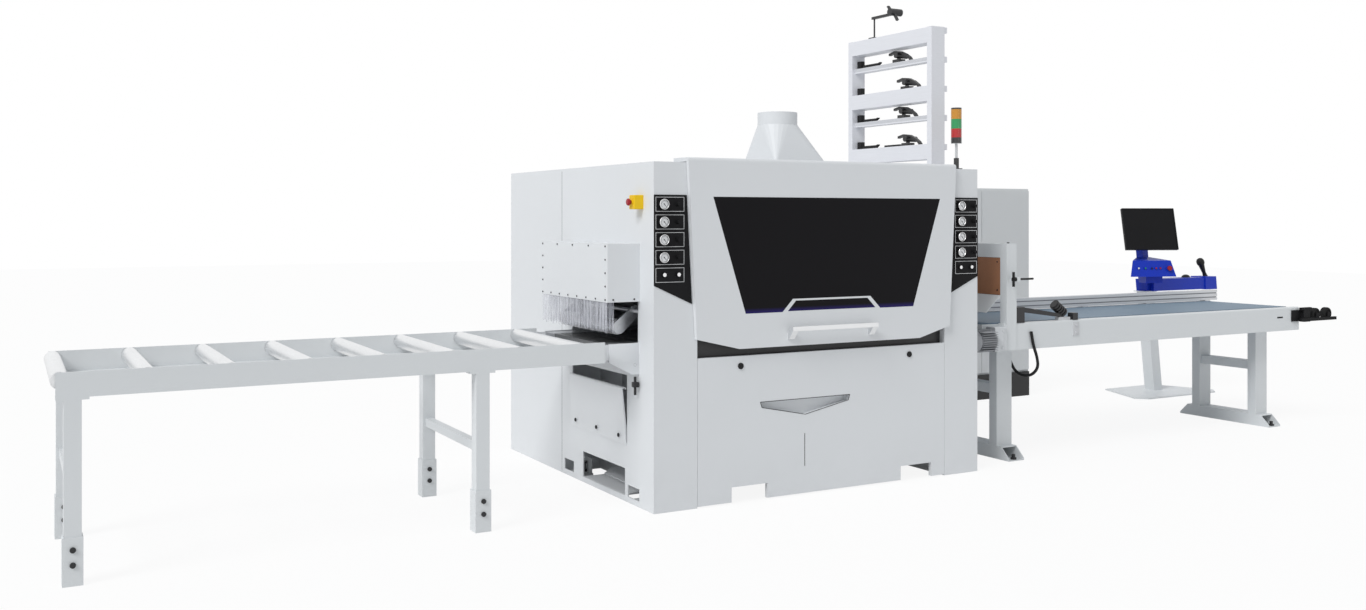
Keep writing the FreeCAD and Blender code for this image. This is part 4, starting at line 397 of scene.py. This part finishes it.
for number in range(1, 6):
    special["laser_carriage_%d" % number] = laser
for name, part in nodes.items():
    part.data.materials.clear()
    part.data.materials.append(special.get(name) or finishes[dressing[name]])
print("materials assigned:", len(nodes))


# Modelling: every piece starts from a primitive at its size and place and is shaped in edit mode.

def startEdit(piece, kind="FACE"):
    bpy.ops.object.select_all(action="DESELECT")
    bpy.context.view_layer.objects.active = piece
    piece.select_set(True)
    bpy.ops.object.mode_set(mode="EDIT")
    bpy.ops.mesh.select_mode(type=kind)
    bpy.ops.mesh.select_all(action="DESELECT")


def endEdit():
    bpy.ops.object.mode_set(mode="OBJECT")


def pickFaces(test):
    shape = bmesh.from_edit_mesh(bpy.context.object.data)
    for face in shape.faces:
        if test(face.calc_center_median(), face.normal):
            face.select_set(True)
    bmesh.update_edit_mesh(bpy.context.object.data)


def block(name, low, high, edge=0.001, rings=1):
    # A box between two corners with its edges rounded.
    middle = [(a + b) / 2 for a, b in zip(low, high)]
    bpy.ops.mesh.primitive_cube_add(size=1, location=middle)
    piece = bpy.context.object
    piece.name = name
    piece.scale = [b - a for a, b in zip(low, high)]
    bpy.ops.object.transform_apply(location=True, rotation=True, scale=True)
    startEdit(piece)
    bpy.ops.mesh.select_all(action="SELECT")
    bpy.ops.mesh.bevel(offset=edge, segments=rings)
    endEdit()
    return piece


def drum(name, centre, radius, depth, axis="Y", sides=20, edge=0.0006):
    # A round piece along an axis with its two rims broken.
    turns = {"X": (0, math.radians(90), 0), "Y": (math.radians(90), 0, 0), "Z": (0, 0, 0)}
    bpy.ops.mesh.primitive_cylinder_add(vertices=sides, radius=radius, depth=depth, location=centre,
                                        rotation=turns[axis])
    piece = bpy.context.object
    piece.name = name
    bpy.ops.object.transform_apply(location=True, rotation=True, scale=True)
    along = Vector([1 if letter == axis else 0 for letter in "XYZ"])
    startEdit(piece)
    pickFaces(lambda spot, normal: abs(normal.dot(along)) > 0.9)
    bpy.ops.mesh.bevel(offset=edge, segments=2)
    endEdit()
    return piece


def copied(first, places):
    # The first piece, joined with a copy of its own mesh at every other place.
    group = [first]
    for place in places:
        twin = first.copy()
        twin.data = first.data.copy()
        twin.data.transform(Matrix.Translation(place))
        bpy.context.collection.objects.link(twin)
        group.append(twin)
    return joined(group)


def joined(group):
    bpy.ops.object.select_all(action="DESELECT")
    for piece in group:
        piece.select_set(True)
    bpy.context.view_layer.objects.active = group[0]
    if len(group) > 1:
        bpy.ops.object.join()
    return group[0]


def seat(piece, body, finish):
    bpy.ops.object.select_all(action="DESELECT")
    bpy.context.view_layer.objects.active = piece
    piece.select_set(True)
    bpy.ops.object.shade_smooth_by_angle(angle=math.radians(35))
    piece.data.materials.clear()
    piece.data.materials.append(finishes.get(finish) or finish)
    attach(piece, body)


# Front instruments: dials, their marks and bezels, and the thin frames round them

gauges = {"left": -1.156, "right": 1.057, "top": 1.757, "pitch": 0.101, "rows": 4, "face": -0.742,
          "radius": 0.0246, "rim": 0.0282}
gaugePlaces = [(x, gauges["top"] - row * gauges["pitch"])
               for x in (gauges["left"], gauges["right"]) for row in range(gauges["rows"])]
firstX, firstZ = gaugePlaces[0]
gaugeSteps = [(x - firstX, 0, z - firstZ) for x, z in gaugePlaces[1:]]


def dialPlate():
    middle = (firstX, gauges["face"] - 0.0008, firstZ)
    piece = drum("gaugeDials", middle, gauges["radius"], 0.0015, sides=28)
    startEdit(piece)
    pickFaces(lambda spot, normal: normal.y < -0.9)
    bpy.ops.mesh.inset(thickness=0.003)
    bpy.ops.transform.translate(value=(0, 0.0004, 0))
    endEdit()
    return copied(piece, gaugeSteps)


def dialMarks():
    front = gauges["face"] - 0.0017
    hand = block("gaugeMarks", (firstX - 0.007, front - 0.0008, firstZ - 0.0012),
                 (firstX + 0.019, front, firstZ + 0.0012), edge=0.0003)
    startEdit(hand)
    bpy.ops.mesh.select_all(action="SELECT")
    bpy.ops.transform.rotate(value=math.radians(-48), orient_axis="Y", center_override=(firstX, front, firstZ))
    endEdit()
    marks = [hand, drum("gaugeHub", (firstX, front - 0.001, firstZ), 0.0032, 0.0016, sides=12, edge=0.0003)]
    centre = Vector((firstX, front, firstZ))
    for step in range(11):
        turn = math.radians(-135 + 27 * step)
        mark = block("gaugeMark", (firstX - 0.0006, front - 0.0003, firstZ + 0.0165),
                     (firstX + 0.0006, front, firstZ + 0.0215), edge=0.0001)
        about = Matrix.Translation(centre) @ Matrix.Rotation(turn, 4, "Y") @ Matrix.Translation(-centre)
        mark.data.transform(about)
        marks.append(mark)
    return copied(joined(marks), gaugeSteps)


def dialBezels():
    bpy.ops.mesh.primitive_torus_add(location=(firstX, gauges["face"] - 0.0045, firstZ),
                                     rotation=(math.radians(90), 0, 0),
                                     major_radius=gauges["rim"], minor_radius=0.0022,
                                     major_segments=28, minor_segments=6)
    piece = bpy.context.object
    piece.name = "gaugeBezels"
    bpy.ops.object.transform_apply(location=True, rotation=True, scale=True)
    return copied(piece, gaugeSteps)


frames = {"width": 0.185, "height": 0.083, "line": 0.0022, "inset": 0.1025, "face": -0.7242, "rows": 5}


def instrumentFrames():
    x0 = -1.212 + frames["inset"]
    low = (x0 - frames["width"] / 2, frames["face"] - 0.0008, gauges["top"] - frames["height"] / 2)
    high = (x0 + frames["width"] / 2, frames["face"], gauges["top"] + frames["height"] / 2)
    piece = block("instrumentFrames", low, high, edge=0.0002)
    startEdit(piece)
    pickFaces(lambda spot, normal: abs(normal.y) > 0.9)
    bpy.ops.mesh.inset(thickness=frames["line"], use_individual=True)
    bpy.ops.mesh.bridge_edge_loops()
    endEdit()
    steps = [(side, 0, -row * gauges["pitch"]) for side in (0, -2 * x0) for row in range(frames["rows"])]
    return copied(piece, steps[1:])


def selectorCaps():
    spots = [(-1.150, 1.355), (-1.057, 1.355), (1.150, 1.355), (1.057, 1.355)]
    piece = drum("selectorCaps", (spots[0][0], -0.7372, spots[0][1]), 0.0115, 0.0026, edge=0.001)
    startEdit(piece)
    pickFaces(lambda spot, normal: normal.y < -0.9)
    bpy.ops.mesh.inset(thickness=0.003)
    bpy.ops.transform.translate(value=(0, 0.0012, 0))
    endEdit()
    return copied(piece, [(x - spots[0][0], 0, z - spots[0][1]) for x, z in spots[1:]])


seat(dialPlate(), "machine", "whitePlastic")
seat(dialMarks(), "machine", "blackPlastic")
seat(dialBezels(), "machine", "fineSilver")
seat(instrumentFrames(), "machine", "whitePlastic")
seat(selectorCaps(), "machine", "fineSilver")
print("instruments made")


# Outfeed side: cover screws of the hood and chute, bracket bolts and the clamping rod

hoodScrew = {"radius": 0.0055, "height": 0.004, "end": -1.424, "near": -0.549, "far": 0.415,
             "low": 1.210, "high": 1.516, "margin": 0.02}


def coverScrew(name, place, axis, radius, height):
    # A button head with its hexagon socket.
    piece = drum(name, place, radius, height, axis=axis, sides=14, edge=height * 0.4)
    along = Vector([1 if letter == axis else 0 for letter in "XYZ"])
    startEdit(piece)
    pickFaces(lambda spot, normal: normal.dot(along) < -0.9)
    bpy.ops.mesh.inset(thickness=radius * 0.22)
    bpy.ops.mesh.extrude_region_move(TRANSFORM_OT_translate={"value": tuple(along * height * 0.5)})
    endEdit()
    return piece


def hoodScrews():
    side = hoodScrew["end"] - hoodScrew["height"] / 2
    margin = hoodScrew["margin"]
    span = hoodScrew["far"] - hoodScrew["near"] - 2 * margin
    rows = []
    for i in range(8):
        rows.append((hoodScrew["near"] + margin + span * i / 7, hoodScrew["low"]))
    for i in range(5):
        rows.append((hoodScrew["near"] + margin + span * i / 4, hoodScrew["high"]))
    for i in range(1, 4):
        for y in (hoodScrew["near"] + margin, hoodScrew["far"] - margin):
            rows.append((y, hoodScrew["low"] + (hoodScrew["high"] - hoodScrew["low"]) * i / 4))
    first = coverScrew("hoodScrews", (side, rows[0][0], rows[0][1]), "X",
                       hoodScrew["radius"], hoodScrew["height"])
    end = copied(first, [(0, y - rows[0][0], z - rows[0][1]) for y, z in rows[1:]])
    spot = (-1.385, hoodScrew["near"] - hoodScrew["height"] / 2, hoodScrew["low"])
    near = coverScrew("hoodSideScrews", spot, "Y", hoodScrew["radius"], hoodScrew["height"])
    return joined([end, copied(near, [(0.135, 0, 0)])])


chute = {"near": -0.375, "far": 0.407, "x": -1.2285, "z": 0.385, "bolt": 0.0125, "head": 0.007}


def chuteBolts():
    width = chute["far"] - chute["near"]
    spots = [chute["near"] + share * width for share in (0.1, 0.5, 0.9)]
    first = coverScrew("chuteBolts", (chute["x"], spots[0], chute["z"]), "X", chute["bolt"], chute["head"])
    return copied(first, [(0, y - spots[0], 0) for y in spots[1:]])


bracket = {"x": -1.238, "y": -0.530, "bolts": (0.905, 0.828), "rod": (0.655, 0.760)}


def bracketBolts():
    spots = bracket["bolts"]
    first = coverScrew("bracketBolts", (bracket["x"], bracket["y"] - 0.004, spots[0]), "Y", 0.012, 0.008)
    return copied(first, [(0, 0, z - spots[0]) for z in spots[1:]])


def clampRod():
    # A threaded rod under the bracket, with its square nut part way up.
    low, high = bracket["rod"]
    middle = (bracket["x"], bracket["y"] - 0.008, (low + high) / 2)
    rod = drum("clampRod", middle, 0.008, high - low, axis="Z", sides=14)
    nut = block("clampNut", (bracket["x"] - 0.018, bracket["y"] - 0.026, 0.700),
                (bracket["x"] + 0.018, bracket["y"] + 0.004, 0.730), edge=0.003, rings=2)
    return joined([rod, nut])


def bracketPad():
    # A light pad between the rail's end and the bed's bracket.
    piece = block("bracketPad", (-1.402, -0.5385, 0.848), (-1.206, -0.5302, 0.9552), edge=0.002, rings=2)
    startEdit(piece)
    pickFaces(lambda spot, normal: normal.z < -0.9)
    bpy.ops.mesh.extrude_region_move(TRANSFORM_OT_translate={"value": (0.06, 0, -0.075)})
    bpy.ops.transform.resize(value=(0.38, 1, 1), center_override=(-1.206, -0.534, 0.773))
    endEdit()
    return piece


def outletLining():
    # The floor sheet from the outlet's lip to the foot of the hopper's slope.
    piece = block("outletLining", (-1.2035, -0.353, 0.0335), (-1.062, 0.247, 0.0355), edge=0.0005)
    startEdit(piece)
    pickFaces(lambda spot, normal: abs(normal.y) > 0.9)
    bpy.ops.mesh.extrude_region_move(TRANSFORM_OT_translate={"value": (0, 0, 0)})
    bpy.ops.transform.resize(value=(1, 1.0004, 1))
    endEdit()
    return piece


def pocketLiners():
    # The sheets that close the foot pockets behind the anchors.
    piece = block("pocketLiners", (-1.086, -0.545, 0.016), (-1.083, -0.385, 0.112), edge=0.0008)
    floor = block("pocketFloors", (-1.2035, -0.545, 0.0152), (-1.083, -0.385, 0.0172), edge=0.0005)
    return copied(joined([piece, floor]), [(0, 0.93, 0)])


seam = {"x": -1.212, "y": 0.582, "width": 0.0034, "low": 0.012, "high": 1.985}


def sideSeam():
    return block("sideSeam", (seam["x"] - 0.0007, seam["y"] - seam["width"] / 2, seam["low"]),
                 (seam["x"] + 0.0005, seam["y"] + seam["width"] / 2, seam["high"]), edge=0.0002)


seat(hoodScrews(), "machine", "blackOxide")
seat(chuteBolts(), "machine", "blackOxide")
seat(bracketPad(), "machine", "body")
seat(bracketBolts(), "machine", "blackOxide")
seat(clampRod(), "machine", "blackOxide")
seat(outletLining(), "machine", "body")
seat(pocketLiners(), "machine", "table")
seat(sideSeam(), "machine", "jointShade")
print("outfeed side made")


# Lower panel: a dark lip round the grip cup that also paints the shade along its top and left edges, and a
# black strip as painted shade behind the slit

gripCup = {"outline": [(-0.498, 0.584), (-0.486, 0.548), (-0.172, 0.484), (0.153, 0.548),
                       (0.165, 0.584)],
           "face": -0.7202, "lip": 0.0035, "proud": 0.0012}


def gripLipAndShade():
    # A black frame round the cup's outline: a dark rim, and also painted shade for the dark top and left edges
    # of the cup.
    bpy.ops.mesh.primitive_circle_add(vertices=5, radius=0.3, fill_type="NGON",
                                      location=(-0.17, gripCup["face"], 0.54),
                                      rotation=(math.radians(90), 0, 0))
    piece = bpy.context.object
    piece.name = "gripLipAndShade"
    bpy.ops.object.transform_apply(location=True, rotation=True, scale=True)
    for corner, (x, z) in zip(piece.data.vertices, gripCup["outline"]):
        corner.co = (x, gripCup["face"], z)
    startEdit(piece)
    bpy.ops.mesh.select_all(action="SELECT")
    bpy.ops.mesh.normals_make_consistent(inside=False)
    bpy.ops.mesh.extrude_region_move(TRANSFORM_OT_translate={"value": (0, -gripCup["proud"], 0)})
    bpy.ops.mesh.select_all(action="SELECT")
    bpy.ops.mesh.normals_make_consistent(inside=False)
    bpy.ops.mesh.select_all(action="DESELECT")
    pickFaces(lambda spot, normal: abs(normal.y) > 0.9)
    bpy.ops.mesh.inset(thickness=gripCup["lip"], use_individual=True)
    bpy.ops.mesh.bridge_edge_loops()
    endEdit()
    return piece


def slitShade():
    return block("slitShade", (-0.184, -0.7135, 0.165), (-0.165, -0.7120, 0.377), edge=0.0004)


seat(gripLipAndShade(), "service_panel", "blackOxide")
seat(slitShade(), "service_panel", "blackPlastic")
print("lower panel dressed")


# Laser rack: the part of each drag chain that lies on its rail

# Each row: height of the rail's top, far end, near end and height of the chain.
restingChains = {"x": 1.1455, "width": 0.026, "rows": [
    (2.186, 0.470, 0.270, 0.024), (2.186, 0.160, -0.020, 0.016),
    (2.386, 0.400, 0.270, 0.020), (2.786, 0.412, 0.245, 0.022)]}


def chainOnRail(number, row):
    z, far, near, height = row
    half = restingChains["width"] / 2
    x = restingChains["x"]
    piece = block("restingChain%d" % number, (x - half, near, z), (x + half, far, z + height), edge=0.002)
    startEdit(piece)
    pickFaces(lambda spot, normal: normal.y < -0.9)
    bpy.ops.mesh.extrude_region_move(TRANSFORM_OT_translate={"value": (0, -0.03, height * 0.6)})
    bpy.ops.transform.resize(value=(1, 1, 0.4), center_override=(restingChains["x"], near - 0.03, z + height))
    endEdit()
    return piece


def chainEnds():
    spots = [2.186, 2.386, 2.586, 2.786]
    first = block("chainEnds", (1.128, 0.425, spots[0]), (1.163, 0.472, spots[0] + 0.055), edge=0.003, rings=2)
    return copied(first, [(0, 0, z - spots[0]) for z in spots[1:]])


chains = joined([chainOnRail(number, row) for number, row in enumerate(restingChains["rows"])])
chains.name = "restingChains"
seat(chains, "machine", "blackPlastic")
seat(chainEnds(), "machine", "blackPlastic")
print("rack chains laid")


# Infeed side: rail slot's painted shade, motor fins, board screws

# The rail's slot as a thin black plate: painted shade for the dark inside of the slot.
def railSlotShade():
    return block("railSlotShade", (4.482, -0.6212, 0.872), (4.552, -0.6196, 0.884), edge=0.0006, rings=2)


motorFin = {"x0": 1.302, "x1": 1.432, "y": -0.605, "z": 0.845, "half": 0.060, "count": 9}


def motorFins():
    # Level fins that make the round motor look square from the front.
    low = (motorFin["x0"], motorFin["y"] - 0.082, motorFin["z"] - motorFin["half"])
    first = block("motorFins", low, (motorFin["x1"], motorFin["y"] - 0.034, low[2] + 0.004), edge=0.0012)
    step = 2 * motorFin["half"] / (motorFin["count"] - 1)
    return copied(first, [(0, 0, step * i) for i in range(1, motorFin["count"])])


def boardScrews():
    spots = [(-0.535, 1.375), (-0.535, 1.180), (0.170, 1.375), (0.170, 1.180)]
    first = coverScrew("boardScrews", (1.5632, spots[0][0], spots[0][1]), "X", 0.006, 0.003)
    return copied(first, [(0, y - spots[0][0], z - spots[0][1]) for y, z in spots[1:]])


seat(railSlotShade(), "machine", "blackPlastic")
seat(motorFins(), "machine", special["gear_motor"])
seat(boardScrews(), "machine", "blackOxide")
print("infeed side dressed")


# Console: coloured caps on the row of small buttons

consoleButtons = {"neck": (5.058, 1.205), "turn": -22.0, "face": -0.2018, "z": 1.205,
                  "caps": [(-0.135, "whitePlastic"), (-0.068, "greenPlastic"), (-0.004, "blackPlastic"),
                           (0.038, "redPlastic"), (0.080, "redPlastic")]}


def buttonCap(number, x):
    middle = (x, consoleButtons["face"] - 0.0125, consoleButtons["z"])
    piece = drum("buttonCap%d" % number, middle, 0.0085, 0.003, edge=0.001)
    startEdit(piece)
    pickFaces(lambda spot, normal: normal.y < -0.9)
    bpy.ops.mesh.inset(thickness=0.002)
    bpy.ops.transform.translate(value=(0, 0.0006, 0))
    endEdit()
    neck = consoleButtons["neck"]
    turn = Matrix.Rotation(math.radians(consoleButtons["turn"]), 4, "Z")
    piece.data.transform(Matrix.Translation((neck[0], neck[1], 0)) @ turn)
    return piece


for number, (x, finish) in enumerate(consoleButtons["caps"]):
    seat(buttonCap(number, x), "machine", finish)
print("console dressed")


# Soft pieces: the cable loop and the two layers of the strip curtain

cable = {"diameter": 0.021, "length": 0.589, "exit": (1.787, -0.632, 0.890),
         "route": [(1.787, -0.632, 0.890), (1.803, -0.632, 0.800), (1.846, -0.628, 0.715),
                   (1.858, -0.628, 0.632), (1.840, -0.571, 0.572), (1.814, -0.490, 0.572),
                   (1.796, -0.433, 0.632), (1.760, -0.4435, 0.705)]}


def cableLoop():
    curve = bpy.data.curves.new("cableLoop", "CURVE")
    curve.dimensions = "3D"
    line = curve.splines.new("NURBS")
    line.points.add(len(cable["route"]) - 1)
    for point, place in zip(line.points, cable["route"]):
        point.co = (*place, 1)
    line.order_u = 3
    line.use_endpoint_u = True
    curve.resolution_u = 12
    curve.bevel_depth = cable["diameter"] / 2
    curve.bevel_resolution = 4
    piece = bpy.data.objects.new("cableLoop", curve)
    bpy.context.collection.objects.link(piece)
    curve.materials.append(finishes["blackPlastic"])
    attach(piece, "machine")
    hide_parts("cable_conduits")


curtain = {"layers": (-1.419, -1.377), "near": -0.542, "far": 0.408, "low": 1.015, "high": 1.525,
           "strips": 118, "rows": 9, "hem": 1.19, "sheet": 0.0005}


def curtainLayer(number, x):
    # A sheet slit into narrow strips below its hem, each of which hangs a little out of line.
    width = curtain["far"] - curtain["near"]
    height = curtain["high"] - curtain["low"]
    bpy.ops.mesh.primitive_grid_add(x_subdivisions=curtain["strips"], y_subdivisions=curtain["rows"], size=1)
    piece = bpy.context.object
    piece.name = "curtainLayer%d" % number
    piece.scale = (width, height, 1)
    piece.rotation_euler = (math.radians(90), 0, math.radians(90))
    piece.location = (x, (curtain["near"] + curtain["far"]) / 2, (curtain["low"] + curtain["high"]) / 2)
    bpy.ops.object.transform_apply(location=True, rotation=True, scale=True)
    startEdit(piece, kind="EDGE")
    shape = bmesh.from_edit_mesh(piece.data)
    for edge in shape.edges:
        a, b = edge.verts
        if abs(a.co.y - b.co.y) < 0.0001 and min(a.co.z, b.co.z) < curtain["hem"]:
            edge.select_set(True)
    bmesh.update_edit_mesh(piece.data)
    bpy.ops.mesh.edge_split(type="EDGE")
    endEdit()
    step = width / curtain["strips"]
    moved = set()
    for face in piece.data.polygons:
        strip = int((face.center.y - curtain["near"]) / step)
        middle = curtain["near"] + step * (strip + 0.5)
        for index in face.vertices:
            corner = piece.data.vertices[index]
            if index in moved or corner.co.z > curtain["hem"]:
                continue
            moved.add(index)
            drop = (curtain["hem"] - corner.co.z) / (curtain["hem"] - curtain["low"])
            wave = math.sin(strip * 2.4 + number)
            corner.co.y = middle + (corner.co.y - middle) * (1 - 0.25 * drop)
            corner.co.y += 0.006 * drop * math.sin(strip * 5.1 + number)
            corner.co.x += 0.004 * drop * drop * wave
            corner.co.z += 0.020 * drop * abs(math.sin(strip * 1.7))
    thick = piece.modifiers.new("sheet", "SOLIDIFY")
    thick.thickness = curtain["sheet"]
    bpy.context.view_layer.objects.active = piece
    bpy.ops.object.modifier_apply(modifier=thick.name)
    seat(piece, "machine", special["curtain_strips"])
    return piece


cableLoop()
layers = [curtainLayer(number, x) for number, x in enumerate(curtain["layers"])]
for layer in layers:
    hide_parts("curtain_strips")
print("cable and curtain hung")


# Floor, backdrop and light

studio = {"key": 1.75, "keyTurn": (47, 0, -68), "keySpread": 25, "fill": 0.50, "sky": (0.96, 0.98, 1.0, 1),
          "floor": 0.9}


def floorFinish():
    # White where the camera or a reflection meets it, with the object's shadow kept.
    net = Net("studioFloor")
    rays = net.node("ShaderNodeLightPath", {}, {})
    seen = Value(net, rays.outputs["Is Camera Ray"]).maths("MAXIMUM", Value(net, rays.outputs["Is Glossy Ray"]))
    speck = net.noise(3.0, 2.0)
    net.finish(net.shade((0.90, 0.90, 0.90), 0.99 + speck * 0.02), 0.9)
    glow = net.node("ShaderNodeEmission", {}, {"Color": (1, 1, 1, 1), "Strength": 1.0})
    blend = net.node("ShaderNodeMixShader", {}, {0: seen * studio["floor"]})
    net.tree.links.new(net.shader.outputs[0], blend.inputs[1])
    net.tree.links.new(glow.outputs[0], blend.inputs[2])
    net.tree.links.new(blend.outputs[0], net.tree.nodes["Material Output"].inputs["Surface"])
    return net.material


bpy.ops.mesh.primitive_plane_add(size=60, location=(1, 8, -0.0015))
floor = bpy.context.object
floor.name = "studio_floor"
bpy.ops.object.transform_apply(location=True, rotation=True, scale=True)
floor.data.materials.append(floorFinish())


def lightWorld():
    world = bpy.data.worlds.new("studioWorld")
    bpy.context.scene.world = world
    world.use_nodes = True
    tree = world.node_tree
    paths = tree.nodes.new("ShaderNodeLightPath")
    soft = tree.nodes["Background"]
    soft.inputs["Color"].default_value = studio["sky"]
    soft.inputs["Strength"].default_value = studio["fill"]
    white = tree.nodes.new("ShaderNodeBackground")
    white.inputs["Color"].default_value = (1, 1, 1, 1)
    white.inputs["Strength"].default_value = 1.0
    either = tree.nodes.new("ShaderNodeMath")
    either.operation = "MAXIMUM"
    tree.links.new(paths.outputs["Is Camera Ray"], either.inputs[0])
    tree.links.new(paths.outputs["Is Transmission Ray"], either.inputs[1])
    glossy = tree.nodes.new("ShaderNodeMath")
    glossy.operation = "MAXIMUM"
    tree.links.new(either.outputs[0], glossy.inputs[0])
    tree.links.new(paths.outputs["Is Glossy Ray"], glossy.inputs[1])
    share = tree.nodes.new("ShaderNodeMixShader")
    tree.links.new(glossy.outputs[0], share.inputs[0])
    tree.links.new(soft.outputs[0], share.inputs[1])
    tree.links.new(white.outputs[0], share.inputs[2])
    tree.links.new(share.outputs[0], tree.nodes["World Output"].inputs["Surface"])


lightWorld()
bpy.ops.object.light_add(type="SUN", location=(-6, -6, 8),
                         rotation=[math.radians(turn) for turn in studio["keyTurn"]])
key = bpy.context.object
key.data.energy = studio["key"]
key.data.angle = math.radians(studio["keySpread"])
print("studio lit")
